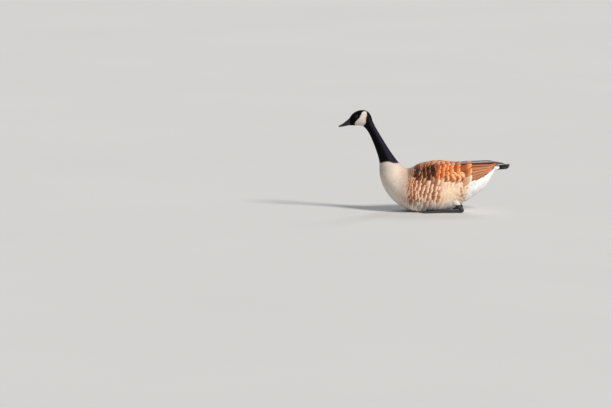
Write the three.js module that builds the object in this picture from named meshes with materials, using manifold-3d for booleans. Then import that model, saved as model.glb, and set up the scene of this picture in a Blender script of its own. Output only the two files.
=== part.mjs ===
// A Canada goose resting on its belly with its neck raised, as it swims, at life size.
// It faces -X with +Z up, its left side is -Y, and the origin is the middle of the flat under its belly.
// All sizes are in millimetres, and angles round a section are in degrees from its top.
import * as THREE from "three";
import { mergeVertices } from "three/addons/utils/BufferGeometryUtils.js";
import Module from "manifold-3d";

const wasm = await Module();
wasm.setup();

// Gap between neighbouring nodes.
const GAP = 0.3;

// Sections of the body from the tail's root to the bill's root. Each has its top and bottom on the
// mid-plane as [x, z], its half-width, how far up its widest place is, and how square it is.
const BODY = [
  { at: "tail root", top: [250, 180], bottom: [250, 157], half: 26, widest: 0.5, square: 2.2 },
  { at: "under tail", top: [234, 184], bottom: [234, 127], half: 39, widest: 0.55, square: 2.2 },
  { at: "vent", top: [212, 187], bottom: [212, 93], half: 52, widest: 0.56, square: 2.15 },
  { at: "rump", top: [180, 189], bottom: [180, 67], half: 66, widest: 0.54, square: 2.1 },
  { at: "thigh", top: [140, 190], bottom: [140, 41], half: 80, widest: 0.5, square: 2.1 },
  { at: "loin", top: [95, 192], bottom: [95, 14], half: 91, widest: 0.48, square: 2.1 },
  { at: "back", top: [45, 197], bottom: [45, -4], half: 97, widest: 0.46, square: 2.1 },
  { at: "fore back", top: [0, 194], bottom: [-5, -6], half: 98, widest: 0.46, square: 2.1 },
  { at: "shoulder", top: [-42, 184], bottom: [-58, -4], half: 95, widest: 0.46, square: 2.1 },
  { at: "crop", top: [-72, 170], bottom: [-105, 15], half: 88, widest: 0.46, square: 2.1 },
  { at: "breast", top: [-90, 166], bottom: [-146, 45], half: 77, widest: 0.47, square: 2.1 },
  { at: "upper breast", top: [-103, 170], bottom: [-177, 86], half: 63, widest: 0.48, square: 2.05 },
  { at: "neck root", top: [-114, 180], bottom: [-193, 128], half: 50, widest: 0.49, square: 2 },
  { at: "neck foot", top: [-126, 194], bottom: [-197, 162], half: 39.5, widest: 0.5, square: 2 },
  { at: "collar", top: [-139, 211], bottom: [-197, 187], half: 31, widest: 0.5, square: 2 },
  { at: "lower neck", top: [-156, 235], bottom: [-204, 213], half: 25, widest: 0.5, square: 2 },
  { at: "middle neck", top: [-175, 265], bottom: [-216, 246], half: 21, widest: 0.5, square: 2 },
  { at: "upper neck", top: [-194, 296], bottom: [-229, 279], half: 18.5, widest: 0.5, square: 2 },
  { at: "throat", top: [-211, 325], bottom: [-242, 306], half: 17.5, widest: 0.5, square: 2 },
  { at: "nape", top: [-224, 351], bottom: [-254, 322], half: 18, widest: 0.5, square: 2 },
  { at: "hind head", top: [-231, 373], bottom: [-263, 330], half: 20, widest: 0.5, square: 2 },
  { at: "ear", top: [-241, 387], bottom: [-270, 332], half: 21.5, widest: 0.48, square: 2.05 },
  { at: "hind crown", top: [-255, 394], bottom: [-278, 332.5], half: 22, widest: 0.46, square: 2.1 },
  { at: "crown", top: [-271, 394.5], bottom: [-286, 332.5], half: 21.3, widest: 0.46, square: 2.15 },
  { at: "eye", top: [-286, 390.5], bottom: [-294, 333], half: 19.5, widest: 0.47, square: 2.2 },
  { at: "brow", top: [-299, 383], bottom: [-301, 334], half: 17, widest: 0.46, square: 2.2 },
  { at: "face", top: [-308.5, 373], bottom: [-307.5, 335], half: 14.5, widest: 0.44, square: 2.2 },
  { at: "bill root", top: [-315, 363], bottom: [-313, 336], half: 12.3, widest: 0.42, square: 2.2 },
];

// Sections of the surface that the folded wing lies in. They run from the wing's tip to the loin,
// and from there they are the body's own, up to the crop.
const FIRST_SHARED = BODY.findIndex((section) => section.at === "loin");
const LAST_SHARED = BODY.findIndex((section) => section.at === "crop");
const WING = [
  { at: "wing tip", top: [292, 193.5], bottom: [292, 179], half: 14, widest: 0.5, square: 2 },
  { at: "primaries", top: [260, 194.5], bottom: [260, 174], half: 23, widest: 0.5, square: 2 },
  { at: "tertials", top: [226, 196], bottom: [226, 138], half: 43, widest: 0.5, square: 2.1 },
  { at: "secondaries", top: [184, 195.5], bottom: [184, 98], half: 64, widest: 0.5, square: 2.1 },
  { at: "wing's waist", top: [140, 194], bottom: [140, 52], half: 81, widest: 0.49, square: 2.1 },
  ...BODY.slice(FIRST_SHARED, LAST_SHARED + 1),
];
// Angles of the folded wing's upper and lower edge on each of those sections.
const WING_UPPER = [32, 16, 9, 8, 9, 10, 11, 13, 19, 33];
const WING_LOWER = [95, 112, 122, 111, 97, 84, 77, 72, 60, 48];
const WING_DEPTH = 7;
const WING_TIP_SHARE = 0.22;
const WING_THICKENS = 3;
const WING_FRONT = 8.85;
const WING_STEPS_ALONG = 13;
const WING_STEPS_ROUND = 6;
// The core that the wing's vanes grow from: how many steps it stops short of the tip, and its face's height.
const WING_CORE = { short: 1, face: -2 };
const POCKET_HEIGHT = 14;
const FRONT_SPACING = 30;

// Outline of a vane as its place from root to tip and its share of the full width there.
const ROUND_VANE = [[0, 0.5], [0.42, 1], [0.84, 0.8], [1, 0.28]];
const LONG_VANE = [[0, 0.7], [0.4, 1], [0.75, 0.82], [0.93, 0.56], [1, 0.2]];
const POINTED_VANE = [[0, 0.8], [0.5, 1], [0.82, 0.66], [1, 0.16]];
// Thickness of a vane at its shaft and at its edges, how far its shaft stands up, and its slope across.
const VANE = { shaft: 0.9, edge: 0.55, ridge: 0.3 };

// The coverts lie in rows across the wing. Each row's tips are one step further back.
const COVERTS = { rows: 7, across: 4, firstTip: -40, step: 23, length: 39, overlap: 1.28 };
const COVERT_LIE = { root: -2.8, tip: 1.5, bend: 0.9, slope: 0.6 };
// The secondaries and tertials, from the uppermost to the lowest: x of root and tip. Each lies under the last.
const SECONDARIES = [[90, 246], [94, 254], [98, 247], [101, 236], [104, 222], [106, 207], [108, 192]];
const SECONDARY = { width: 24, root: -3, tip: 1.7, bend: 0.4, slope: 0.6, under: 0.45 };
// The primaries, from the uppermost to the lowest: x of root and tip.
const PRIMARIES = [[186, 263], [192, 272], [198, 281], [204, 290]];
const PRIMARY = { width: 12.5, root: -3.4, tip: 0.2, bend: 0.4, slope: 0.7, under: 0.5 };

// Sections of the bill, which starts where the body's last section ends.
const BILL = [
  { at: "bill root", top: [-315, 363], bottom: [-313, 336], half: 12.3, widest: 0.42, square: 2.2 },
  { at: "nostril", top: [-327, 352.5], bottom: [-326, 333.2], half: 11.2, widest: 0.42, square: 2.3 },
  { at: "middle", top: [-339, 343], bottom: [-338, 331], half: 10.3, widest: 0.42, square: 2.4 },
  { at: "nail root", top: [-349, 336.8], bottom: [-348, 329.2], half: 8.8, widest: 0.45, square: 2.4 },
  { at: "tip", top: [-356.5, 332], bottom: [-355, 328.8], half: 4.4, widest: 0.5, square: 2.2 },
];
// Line of the closed mouth along the bill, as [x, z].
const MOUTH = [[-300, 346.5], [-315, 343.5], [-327, 339.8], [-339, 336], [-349, 332.4], [-362, 329.5]];
const NOSTRIL = { at: [-328.5, 0, 346.3], half: [4.2, 20, 1.9], tilt: 32 };
const NAIL = { at: [-351.5, 0, 333.2], half: [6, 5.4, 2.4], tilt: 28 };

const EYE = { at: [-286.5, 11.3, 371.5], radius: 8.5 };
const LID = { out: 6.6, radius: 5.9, thick: 1.15, long: 1.12, high: 0.94 };

// Sections of the tail's root, which carries the tail feathers behind the torso.
const TAIL_ROOT = [
  { at: "joint", top: [250, 180], bottom: [250, 157], half: 26, widest: 0.5, square: 2.2 },
  { at: "coverts", top: [265, 178.5], bottom: [265, 161], half: 25, widest: 0.5, square: 2.4 },
  { at: "end", top: [281, 176.5], bottom: [281, 168.5], half: 22, widest: 0.6, square: 2.6 },
];
// The fan of tail feathers, counted on one side: where they start, how far they spread, turn and drop.
const FAN = { pairs: 7, rootX: 261, rootZ: 171.5, rootHalf: 15, turn: 23, drop: 8.4, length: 47, rounding: 0.13 };
const RECTRIX = { width: 16.5, root: 0, tip: 8, bend: 1, slope: 0 };
// Rows of short vanes over and under the tail's root: how many, where, how they spread and how they lie.
const TAIL_COVERTS = [
  { count: 5, rootX: 254, rootZ: 176.2, rootHalf: 14, turn: 12, drop: 5, length: 30, lie: { root: 0, tip: 4.4 } },
  { count: 6, rootX: 253, rootZ: 161.5, rootHalf: 16, turn: 12, drop: -6, length: 37, lie: { root: 0, tip: 5.2 } },
];
const TAIL_COVERT = { width: 14, bend: 1, slope: 0.5 };

// The left leg lies folded under the belly, from the thigh back to the ankle and forward to the toes.
const LEG = [
  { at: [84, -60, 54], radius: 12 },
  { at: [101, -62, 34], radius: 10.5 },
  { at: [117, -64, 17], radius: 8.2 },
  { at: [122, -65, 9.5], radius: 8.4 },
  { at: [113, -65, 7.2], radius: 6.6 },
  { at: [86, -66, 6], radius: 5.4 },
  { at: [60, -66, 5.6], radius: 5.4 },
  { at: [46, -67, 6], radius: 6.4 },
];
// Where the foot starts along X, and the place behind it that the toes run out from.
const FOOT_STARTS = 47;
const TOE_ROOT = [50, -67, 6];
const TOES = [
  { tip: [-14, -56, 3.2], joints: 2 },
  { tip: [-34, -70, 3.2], joints: 3 },
  { tip: [-22, -88, 3.2], joints: 3 },
];
const HIND_TOE = [
  { at: [56, -65, 5], radius: 3 },
  { at: [64, -57, 4.4], radius: 3 },
  { at: [70, -54, 3.6], radius: 2.6 },
  { at: [77, -51.5, 1.2], radius: 0.7 },
];
const TOE_RADIUS = 3.9;
const KNUCKLE = 1.18;
const CLAW = { length: 9, middle: 5, radius: 1.7, tip: 0.7 };
const WEB_THICK = 1.8;

const COVERT_SEED = 7;
const COVERT_STRAY = 2;
const FIRST_COVERT_ROOT = -62;
const ROOT_CLEAR = 0.45;
const EDGE_CLEAR = 1.5;
const BODY_SIDES = 32;
const STEPS_PER_SECTION = 1.5;
const BILL_STEPS = 9;
const BILL_SIDES = 18;
const MOUTH_STEPS = 12;
const EYE_ACROSS = 12;
const EYE_DOWN = 8;
const LID_SIDES = 5;
const LID_STEPS = 14;
const NOSTRIL_SIDES = 8;
const NAIL_SIDES = 10;
const TAIL_STEPS = 4;
const TAIL_SIDES = 14;
const TOE_THINS = 0.3;
const TOE_ROOT_RADIUS = 6.2;
const BAR_SIDES = 8;
const WEB_REACH = 0.95;
const WEB_HOLLOW = 0.2;

// Places on the body, counted in sections, where the nodes part.
const NECK_STARTS = 13;
const NECK_PARTS = 16.5;
const HEAD_STARTS = 19.5;

// Catmull-Rom curve through four numbers, a share u of the way from the second to the third.
function smooth([a, b, c, d], u) {
  const slope0 = (c - a) / 2;
  const slope1 = (d - b) / 2;
  const cubic = 2 * b - 2 * c + slope0 + slope1;
  const square = -3 * b + 3 * c - 2 * slope0 - slope1;
  return ((cubic * u + square) * u + slope0) * u + b;
}

// The value of a list of numbers at place t, with the list carried on straight past its ends.
function valueAt(list, t) {
  const last = list.length - 1;
  const i = Math.min(Math.max(Math.floor(t), 0), last - 1);
  const item = (k) => {
    if (k < 0) return 2 * list[0] - list[1];
    return k > last ? 2 * list[last] - list[last - 1] : list[k];
  };
  return smooth([item(i - 1), item(i), item(i + 1), item(i + 2)], t - i);
}

// The point of a run of sections at place t and the given angle from the top, in degrees,
// on the left side for angles up to 180 and on the right side past that.
function onSection(sections, t, angle) {
  const value = (read) => valueAt(sections.map(read), t);
  const top = new THREE.Vector3(value((s) => s.top[0]), 0, value((s) => s.top[1]));
  const bottom = new THREE.Vector3(value((s) => s.bottom[0]), 0, value((s) => s.bottom[1]));
  const centre = bottom.clone().lerp(top, value((s) => s.widest));
  const power = 2 / value((s) => s.square);
  const radians = THREE.MathUtils.degToRad(angle);
  const rise = Math.cos(radians);
  const side = Math.sin(radians);
  const point = centre.clone().lerp(rise > 0 ? top : bottom, Math.abs(rise) ** power);
  point.y = -Math.sign(side) * value((s) => s.half) * Math.abs(side) ** power;
  return point;
}

// The same point moved out of the surface by a height.
function offSection(sections, t, angle, height) {
  const point = onSection(sections, t, angle);
  if (height === 0) return point;
  const small = 0.01;
  const turn = 0.5;
  const along = onSection(sections, t + small, angle).sub(onSection(sections, t - small, angle));
  const round = onSection(sections, t, angle + turn).sub(onSection(sections, t, angle - turn));
  return point.addScaledVector(along.cross(round).normalize(), height);
}

// Evenly spaced numbers from first to last.
function spread(first, last, steps) {
  return Array.from({ length: steps + 1 }, (_, i) => first + ((last - first) * i) / steps);
}

function geometryOf(points, faces) {
  const geometry = new THREE.BufferGeometry();
  geometry.setAttribute("position", new THREE.Float32BufferAttribute(points.flatMap((p) => p.toArray()), 3));
  return geometry.setIndex(faces);
}

// A closed body through rings of points, with a flat cap at each end.
function loft(rings) {
  const sides = rings[0].length;
  const points = rings.flat();
  const faces = [];
  for (let r = 0; r < rings.length - 1; r += 1) {
    for (let s = 0; s < sides; s += 1) {
      const a = r * sides + s;
      const b = r * sides + ((s + 1) % sides);
      faces.push(a, b + sides, b, a, a + sides, b + sides);
    }
  }
  for (const [ring, flip] of [[0, true], [rings.length - 1, false]]) {
    const middle = points.length;
    points.push(rings[ring].reduce((sum, p) => sum.add(p), new THREE.Vector3()).divideScalar(sides));
    for (let s = 0; s < sides; s += 1) {
      const a = ring * sides + s;
      const b = ring * sides + ((s + 1) % sides);
      faces.push(...(flip ? [middle, a, b] : [middle, b, a]));
    }
  }
  return geometryOf(points, faces);
}

// A closed sheet between two grids of points of the same size, split into triangles alike on both faces.
function sheet(upper, lower) {
  const rows = upper.length;
  const columns = upper[0].length;
  const points = [...upper.flat(), ...lower.flat()];
  const faces = [];
  const at = (face, r, c) => face * rows * columns + r * columns + c;
  const quad = (a, b, c, d) => faces.push(a, b, c, a, c, d);
  for (let r = 0; r < rows - 1; r += 1) {
    for (let c = 0; c < columns - 1; c += 1) {
      quad(at(0, r, c), at(0, r + 1, c), at(0, r + 1, c + 1), at(0, r, c + 1));
      faces.push(at(1, r, c), at(1, r + 1, c + 1), at(1, r + 1, c));
      faces.push(at(1, r, c), at(1, r, c + 1), at(1, r + 1, c + 1));
    }
    quad(at(0, r, 0), at(1, r, 0), at(1, r + 1, 0), at(0, r + 1, 0));
    quad(at(0, r + 1, columns - 1), at(1, r + 1, columns - 1), at(1, r, columns - 1), at(0, r, columns - 1));
  }
  for (let c = 0; c < columns - 1; c += 1) {
    quad(at(0, 0, c + 1), at(1, 0, c + 1), at(1, 0, c), at(0, 0, c));
    quad(at(0, rows - 1, c), at(1, rows - 1, c), at(1, rows - 1, c + 1), at(0, rows - 1, c + 1));
  }
  return geometryOf(points, faces);
}

// A geometry as a solid that can be joined and cut.
function solid(geometry) {
  const bare = new THREE.BufferGeometry().setAttribute("position", geometry.getAttribute("position"));
  if (geometry.index) bare.setIndex(geometry.index);
  const merged = mergeVertices(bare, 1e-4);
  const made = new wasm.Manifold(
    new wasm.Mesh({
      numProp: 3,
      vertProperties: new Float32Array(merged.getAttribute("position").array),
      triVerts: new Uint32Array(merged.index.array),
    }),
  );
  if (made.volume() < 0) throw new Error("a piece is inside out");
  return made;
}

function joined(pieces) {
  return pieces.reduce((sum, piece) => sum.add(piece));
}

// The largest closed surface of a solid, as a geometry.
function largest(made) {
  const surfaces = made.decompose();
  const kept = surfaces.reduce((most, one) => (one.volume() > most.volume() ? one : most));
  const mesh = kept.getMesh();
  const geometry = new THREE.BufferGeometry();
  geometry.setAttribute("position", new THREE.BufferAttribute(mesh.vertProperties.slice(), 3));
  return geometry.setIndex(new THREE.BufferAttribute(mesh.triVerts.slice(), 1));
}

// A ball with its poles along Y, stretched to the given half sizes.
function ball(centre, halfSizes, across, down) {
  const geometry = new THREE.SphereGeometry(1, across, down).rotateX(Math.PI / 2);
  return solid(geometry.scale(...halfSizes).translate(...centre));
}

// The whole body between two places, grown by a height, and flat where it would pass below the floor.
function bodyBetween(first, last, height = 0) {
  const steps = Math.max(2, Math.round((last - first) * STEPS_PER_SECTION));
  const rings = spread(first, last, steps).map((t) =>
    spread(0, 360, BODY_SIDES)
      .slice(0, -1)
      .map((angle) => {
        const point = offSection(BODY, t, angle, height);
        point.z = Math.max(point.z, 0);
        return point;
      }),
  );
  return solid(loft(rings));
}

// A half gap as a share of the way from one section to the next.
function halfGap(t) {
  const spacing = onSection(BODY, t - 0.05, 90).distanceTo(onSection(BODY, t + 0.05, 90)) / 0.1;
  return GAP / 2 / spacing;
}

// A length of the neck with half a gap left at each end.
function neckBetween(first, last) {
  return bodyBetween(first + halfGap(first), last - halfGap(last));
}

// Depth of the folded wing below its surface at a place: thin at the tip and full over the body.
function wingDepth(t) {
  return WING_DEPTH * Math.min(1, WING_TIP_SHARE + t / WING_THICKENS);
}

// A band of the wing's surface on the left side, up to a height, grown by a gap below and at its edges.
function wingBand(short, toFront, height, gap = 0) {
  const places = spread(0, toFront, WING_STEPS_ALONG).slice(short);
  const gridAt = (heightAt) =>
    places.map((t) => {
      const margin = THREE.MathUtils.radToDeg(gap / valueAt(WING.map((s) => s.half), t));
      const upper = valueAt(WING_UPPER, t) - margin;
      const lower = valueAt(WING_LOWER, t) + margin;
      return spread(upper, lower, WING_STEPS_ROUND).map((angle) => offSection(WING, t, angle, heightAt(t)));
    });
  return solid(sheet(gridAt(() => height), gridAt((t) => -wingDepth(t) - gap)));
}

// The torso with the pockets that the wings lie in, grown by a height that is at most the gap.
function torso(height = 0) {
  const body = bodyBetween(0, NECK_STARTS - halfGap(NECK_STARTS), height);
  const front = WING_FRONT + (GAP - height) / FRONT_SPACING;
  const left = wingBand(0, front, POCKET_HEIGHT, GAP - height);
  return body.subtract(left).subtract(left.mirror([0, 1, 0]));
}

// Numbers between -1 and 1 that are the same each time for one seed.
function drawer(seed) {
  let state = seed;
  return () => {
    state = (Math.imul(state, 1664525) + 1013904223) >>> 0;
    return state / 2 ** 31 - 1;
  };
}

// The place on the wing's sections whose top has the given x.
function wingPlaceAt(x) {
  let low = 0;
  let high = WING.length - 1;
  const tops = WING.map((s) => s.top[0]);
  for (let i = 0; i < 24; i += 1) {
    const middle = (low + high) / 2;
    if (valueAt(tops, middle) > x) low = middle;
    else high = middle;
  }
  return (low + high) / 2;
}

// A vane whose points come from place(along, across, height): along from 0 at its root to 1 at its tip,
// across in millimetres from its shaft, and height above the surface that it lies on.
function vane(place, outline, width, lie) {
  const grid = (face) =>
    outline.map(([along, share]) =>
      [1, 0, -1].map((side) => {
        const thick = side === 0 ? VANE.shaft : VANE.edge;
        const lift = side === 0 ? VANE.ridge : lie.slope * side;
        const height = lie.root + (lie.tip - lie.root) * along ** lie.bend + lift;
        return place(along, (side * share * width) / 2, height + (face * thick) / 2);
      }),
    );
  return solid(sheet(grid(1), grid(-1)));
}

// A vane of the wing between two places [x, angle].
function wingVane([rootX, rootAngle], [tipX, tipAngle], outline, width, lie) {
  const halves = WING.map((s) => s.half);
  const place = (along, across, height) => {
    const t = wingPlaceAt(rootX + (tipX - rootX) * along);
    const middle = rootAngle + (tipAngle - rootAngle) * along;
    const degrees = THREE.MathUtils.radToDeg(1 / valueAt(halves, t));
    const highest = valueAt(WING_UPPER, t) + EDGE_CLEAR * degrees;
    const lowest = valueAt(WING_LOWER, t) - EDGE_CLEAR * degrees;
    const angle = THREE.MathUtils.clamp(middle + across * degrees, highest, lowest);
    return offSection(WING, t, angle, height);
  };
  return vane(place, outline, width, lie);
}

// Angle of a share of the way down the wing at a place along X, clear of its edges by a width in millimetres.
function wingAngle(x, share, clear) {
  const t = wingPlaceAt(x);
  const margin = THREE.MathUtils.radToDeg(clear / valueAt(WING.map((s) => s.half), t));
  return THREE.MathUtils.lerp(valueAt(WING_UPPER, t) + margin, valueAt(WING_LOWER, t) - margin, share);
}

// Rows of coverts, each with its vanes half a step from those of the row before.
function coverts() {
  const draw = drawer(COVERT_SEED);
  const vanes = [];
  for (let row = 0; row < COVERTS.rows; row += 1) {
    const count = COVERTS.across + (row % 2);
    for (let i = 0; i < count; i += 1) {
      const tipX = COVERTS.firstTip + COVERTS.step * row + COVERT_STRAY * draw();
      const rootX = Math.max(tipX - COVERTS.length, FIRST_COVERT_ROOT);
      const t = wingPlaceAt(tipX);
      const arc = THREE.MathUtils.degToRad(valueAt(WING_LOWER, t) - valueAt(WING_UPPER, t));
      const width = ((arc * valueAt(WING.map((s) => s.half), t)) / count) * COVERTS.overlap;
      const share = i / (count - 1);
      const root = [rootX, wingAngle(rootX, share, width * ROOT_CLEAR)];
      const tip = [tipX, wingAngle(tipX, share, width / 2)];
      vanes.push(wingVane(root, tip, ROUND_VANE, width, COVERT_LIE));
    }
  }
  return vanes;
}

// Long vanes spread from the wing's upper edge to its lower one.
function longVanes(list, outline, lie) {
  return list.map(([rootX, tipX], i) => {
    const share = i / (list.length - 1);
    const root = [rootX, wingAngle(rootX, share, lie.width / 2)];
    const tip = [tipX, wingAngle(tipX, share, lie.width / 2)];
    return wingVane(root, tip, outline, lie.width, { ...lie, tip: lie.tip - lie.under * i });
  });
}

function foldedWing() {
  const core = wingBand(WING_CORE.short, WING_FRONT, WING_CORE.face).subtract(torso(GAP));
  const vanes = [
    ...coverts(),
    ...longVanes(SECONDARIES, LONG_VANE, SECONDARY),
    ...longVanes(PRIMARIES, POINTED_VANE, PRIMARY),
  ];
  return joined([core, ...vanes]);
}

// Rings of a run of sections, each moved by a number of millimetres along X.
function ringsOf(sections, steps, sides, moved) {
  return spread(0, sections.length - 1, steps).map((t) =>
    spread(0, 360, sides)
      .slice(0, -1)
      .map((angle) => onSection(sections, t, angle).add(new THREE.Vector3(moved, 0, 0))),
  );
}

// A piece set in place after a turn about Y, in degrees.
function tilted(made, degrees, at) {
  return made.rotate([0, degrees, 0]).translate(at);
}

// The two halves of the closed bill, parted along the line of the mouth.
function billHalves() {
  const whole = solid(loft(ringsOf(BILL, BILL_STEPS, BILL_SIDES, -GAP)));
  const line = new THREE.SplineCurve(MOUTH.map(([x, z]) => new THREE.Vector2(x, z))).getPoints(MOUTH_STEPS);
  const below = line.map((p) => [p.x, p.y - GAP / 2]);
  const above = line.map((p) => [p.x, p.y + GAP / 2]).reverse();
  const outline = new THREE.Shape([...below, ...above].map(([x, z]) => new THREE.Vector2(x, z)));
  const wide = 4 * BILL[0].half;
  const slot = new THREE.ExtrudeGeometry(outline, { depth: wide, bevelEnabled: false, curveSegments: 1 });
  const cut = solid(slot.rotateX(Math.PI / 2).translate(0, wide / 2, 0));
  const halves = whole.subtract(cut).decompose();
  halves.sort((a, b) => middleHeight(b) - middleHeight(a));
  const nostril = tilted(ball([0, 0, 0], NOSTRIL.half, NOSTRIL_SIDES, 6), NOSTRIL.tilt, NOSTRIL.at);
  const nail = tilted(ball([0, 0, 0], NAIL.half, NAIL_SIDES, 6), NAIL.tilt, NAIL.at).subtract(cut);
  const nailTop = nail.decompose().sort((a, b) => middleHeight(b) - middleHeight(a))[0];
  return { upper: halves[0].add(nailTop).subtract(nostril), lower: halves[1] };
}

function middleHeight(made) {
  const box = made.boundingBox();
  return box.min[2] + box.max[2];
}

// Both eyes' balls, grown by a gap.
function eyeBall(side, gap = 0) {
  const radius = EYE.radius + gap;
  return ball([EYE.at[0], side * EYE.at[1], EYE.at[2]], [radius, radius, radius], EYE_ACROSS, EYE_DOWN);
}

// The head with a ring of lids round each eye's socket.
function head() {
  const skull = bodyBetween(HEAD_STARTS + halfGap(HEAD_STARTS), BODY.length - 1);
  return [-1, 1].reduce((made, side) => {
    const ring = new THREE.TorusGeometry(LID.radius, LID.thick, LID_SIDES, LID_STEPS).scale(LID.long, LID.high, 1);
    ring.rotateX(Math.PI / 2).translate(EYE.at[0], side * (EYE.at[1] + LID.out), EYE.at[2]);
    return made.add(solid(ring)).subtract(eyeBall(side, GAP));
  }, skull);
}

// A vane of a fan spread behind a place, at a share from -1 on the right to 1 on the left.
function fanVane(fan, share, length, outline, width, lie) {
  const turn = THREE.MathUtils.degToRad(-fan.turn * share);
  const place = (along, across, height) =>
    new THREE.Vector3(
      fan.rootX + length * along * Math.cos(turn) + across * Math.sin(turn),
      -fan.rootHalf * share + length * along * Math.sin(turn) - across * Math.cos(turn),
      fan.rootZ - fan.drop * Math.abs(share) + height,
    );
  return vane(place, outline, width, lie);
}

// The tail feathers, the outer ones each under the next one in.
function rectrices() {
  const shares = spread(0.5 / (FAN.pairs - 0.5), 1, FAN.pairs - 1).flatMap((share) => [-share, share]);
  return shares.map((share) => {
    const length = FAN.length * (1 - FAN.rounding * share ** 2);
    return fanVane(FAN, share, length, ROUND_VANE, RECTRIX.width, RECTRIX);
  });
}

function tailCoverts(row) {
  return spread(-1, 1, row.count - 1).map((share) =>
    fanVane(row, share, row.length, ROUND_VANE, TAIL_COVERT.width, { ...TAIL_COVERT, ...row.lie }),
  );
}

function tail() {
  const core = solid(loft(ringsOf(TAIL_ROOT, TAIL_STEPS, TAIL_SIDES, GAP).map((ring) => ring.reverse())));
  const under = wingBand(0, WING_FRONT, POCKET_HEIGHT, GAP);
  const feathers = [...rectrices(), ...TAIL_COVERTS.flatMap(tailCoverts)];
  return joined([core, ...feathers]).subtract(under).subtract(under.mirror([0, 1, 0])).subtract(torso(GAP));
}

// A round bar through a run of places and radii, flat where it would pass below the floor.
function bar(run) {
  const points = run.map(({ at }) => new THREE.Vector3(...at));
  const rings = points.map((p, i) => {
    const ahead = points[Math.min(i + 1, points.length - 1)];
    const behind = points[Math.max(i - 1, 0)];
    const along = ahead.clone().sub(behind).normalize();
    const side = new THREE.Vector3(0, 1, 0).cross(along).normalize();
    const up = along.clone().cross(side);
    return spread(0, 2 * Math.PI, BAR_SIDES)
      .slice(0, -1)
      .map((angle) => {
        const ring = p.clone();
        ring.addScaledVector(side, run[i].radius * Math.cos(angle));
        ring.addScaledVector(up, run[i].radius * Math.sin(angle));
        ring.z = Math.max(ring.z, 0);
        return ring;
      });
  });
  return solid(loft(rings.map((ring) => ring.reverse())));
}

// Everything behind a place along X, for parting the leg from the foot.
function behind(x) {
  const size = 300;
  return solid(new THREE.BoxGeometry(size, size, size).translate(x + size / 2, 0, 0));
}

function leg() {
  return bar(LEG).add(bar(HIND_TOE)).intersect(behind(FOOT_STARTS)).subtract(torso(GAP));
}

// A point of a toe's middle line at a share of its length.
function onToe(toe, share) {
  return new THREE.Vector3(...TOE_ROOT).lerp(new THREE.Vector3(...toe.tip), share);
}

// A toe with knuckles at its joints and a blunt claw at its end.
function toeBar(toe) {
  const steps = 2 * toe.joints + 1;
  const run = spread(0, 1, steps).map((share, i) => {
    const thickness = TOE_RADIUS * (1 - TOE_THINS * share) * (i % 2 === 0 ? KNUCKLE : 1);
    return { at: onToe(toe, share).toArray(), radius: i === 0 ? TOE_ROOT_RADIUS : thickness };
  });
  const length = onToe(toe, 0).distanceTo(onToe(toe, 1));
  run.push({ at: onToe(toe, 1 + CLAW.middle / length).toArray(), radius: CLAW.radius });
  run.push({ at: onToe(toe, 1 + CLAW.length / length).setZ(CLAW.tip).toArray(), radius: CLAW.tip });
  return bar(run);
}

// The web between two toes, with a hollow front edge.
function web(inner, outer) {
  const grid = (height) =>
    spread(0.08, WEB_REACH, 3).map((share) =>
      spread(0, 1, 4).map((across) => {
        const back = share * (1 - WEB_HOLLOW * 4 * across * (1 - across));
        return onToe(inner, back).lerp(onToe(outer, back), across).setZ(height);
      }),
    );
  return solid(sheet(grid(WEB_THICK), grid(0)));
}

function foot() {
  const toes = TOES.map(toeBar);
  const webs = [web(TOES[0], TOES[1]), web(TOES[1], TOES[2])];
  return joined([...toes, ...webs]).subtract(behind(FOOT_STARTS - GAP));
}

const root = new THREE.Group();

const MATERIALS = {
  brownPlumage: new THREE.MeshStandardMaterial({ color: 0x9a6238, roughness: 0.85 }),
  blackPlumage: new THREE.MeshStandardMaterial({ color: 0x17151a, roughness: 0.8 }),
  bill: new THREE.MeshStandardMaterial({ color: 0x15161d, roughness: 0.4 }),
  eye: new THREE.MeshStandardMaterial({ color: 0x1a0f0a, roughness: 0.08 }),
  flightFeather: new THREE.MeshStandardMaterial({ color: 0x5a3b28, roughness: 0.7 }),
  legSkin: new THREE.MeshStandardMaterial({ color: 0x26262a, roughness: 0.6 }),
};

function add(name, made, material) {
  const mesh = new THREE.Mesh(largest(made), MATERIALS[material]);
  mesh.name = name;
  root.add(mesh);
  return mesh;
}

add("torso", torso(), "brownPlumage");
add("neck_lower", neckBetween(NECK_STARTS, NECK_PARTS), "blackPlumage");
add("neck_upper", neckBetween(NECK_PARTS, HEAD_STARTS), "blackPlumage");
add("head", head(), "blackPlumage");
const bill = billHalves();
add("bill_upper", bill.upper, "bill");
add("bill_lower", bill.lower, "bill");
add("tail", tail(), "flightFeather");
add("eye_left", eyeBall(-1), "eye");
add("eye_right", eyeBall(1), "eye");
for (const [part, made, material] of [
  ["wing", foldedWing(), "flightFeather"],
  ["leg", leg(), "legSkin"],
  ["foot", foot(), "legSkin"],
]) {
  add(part + "_left", made, material);
  add(part + "_right", made, material).scale.y = -1;
}

export default root;
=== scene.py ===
import math

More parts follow.
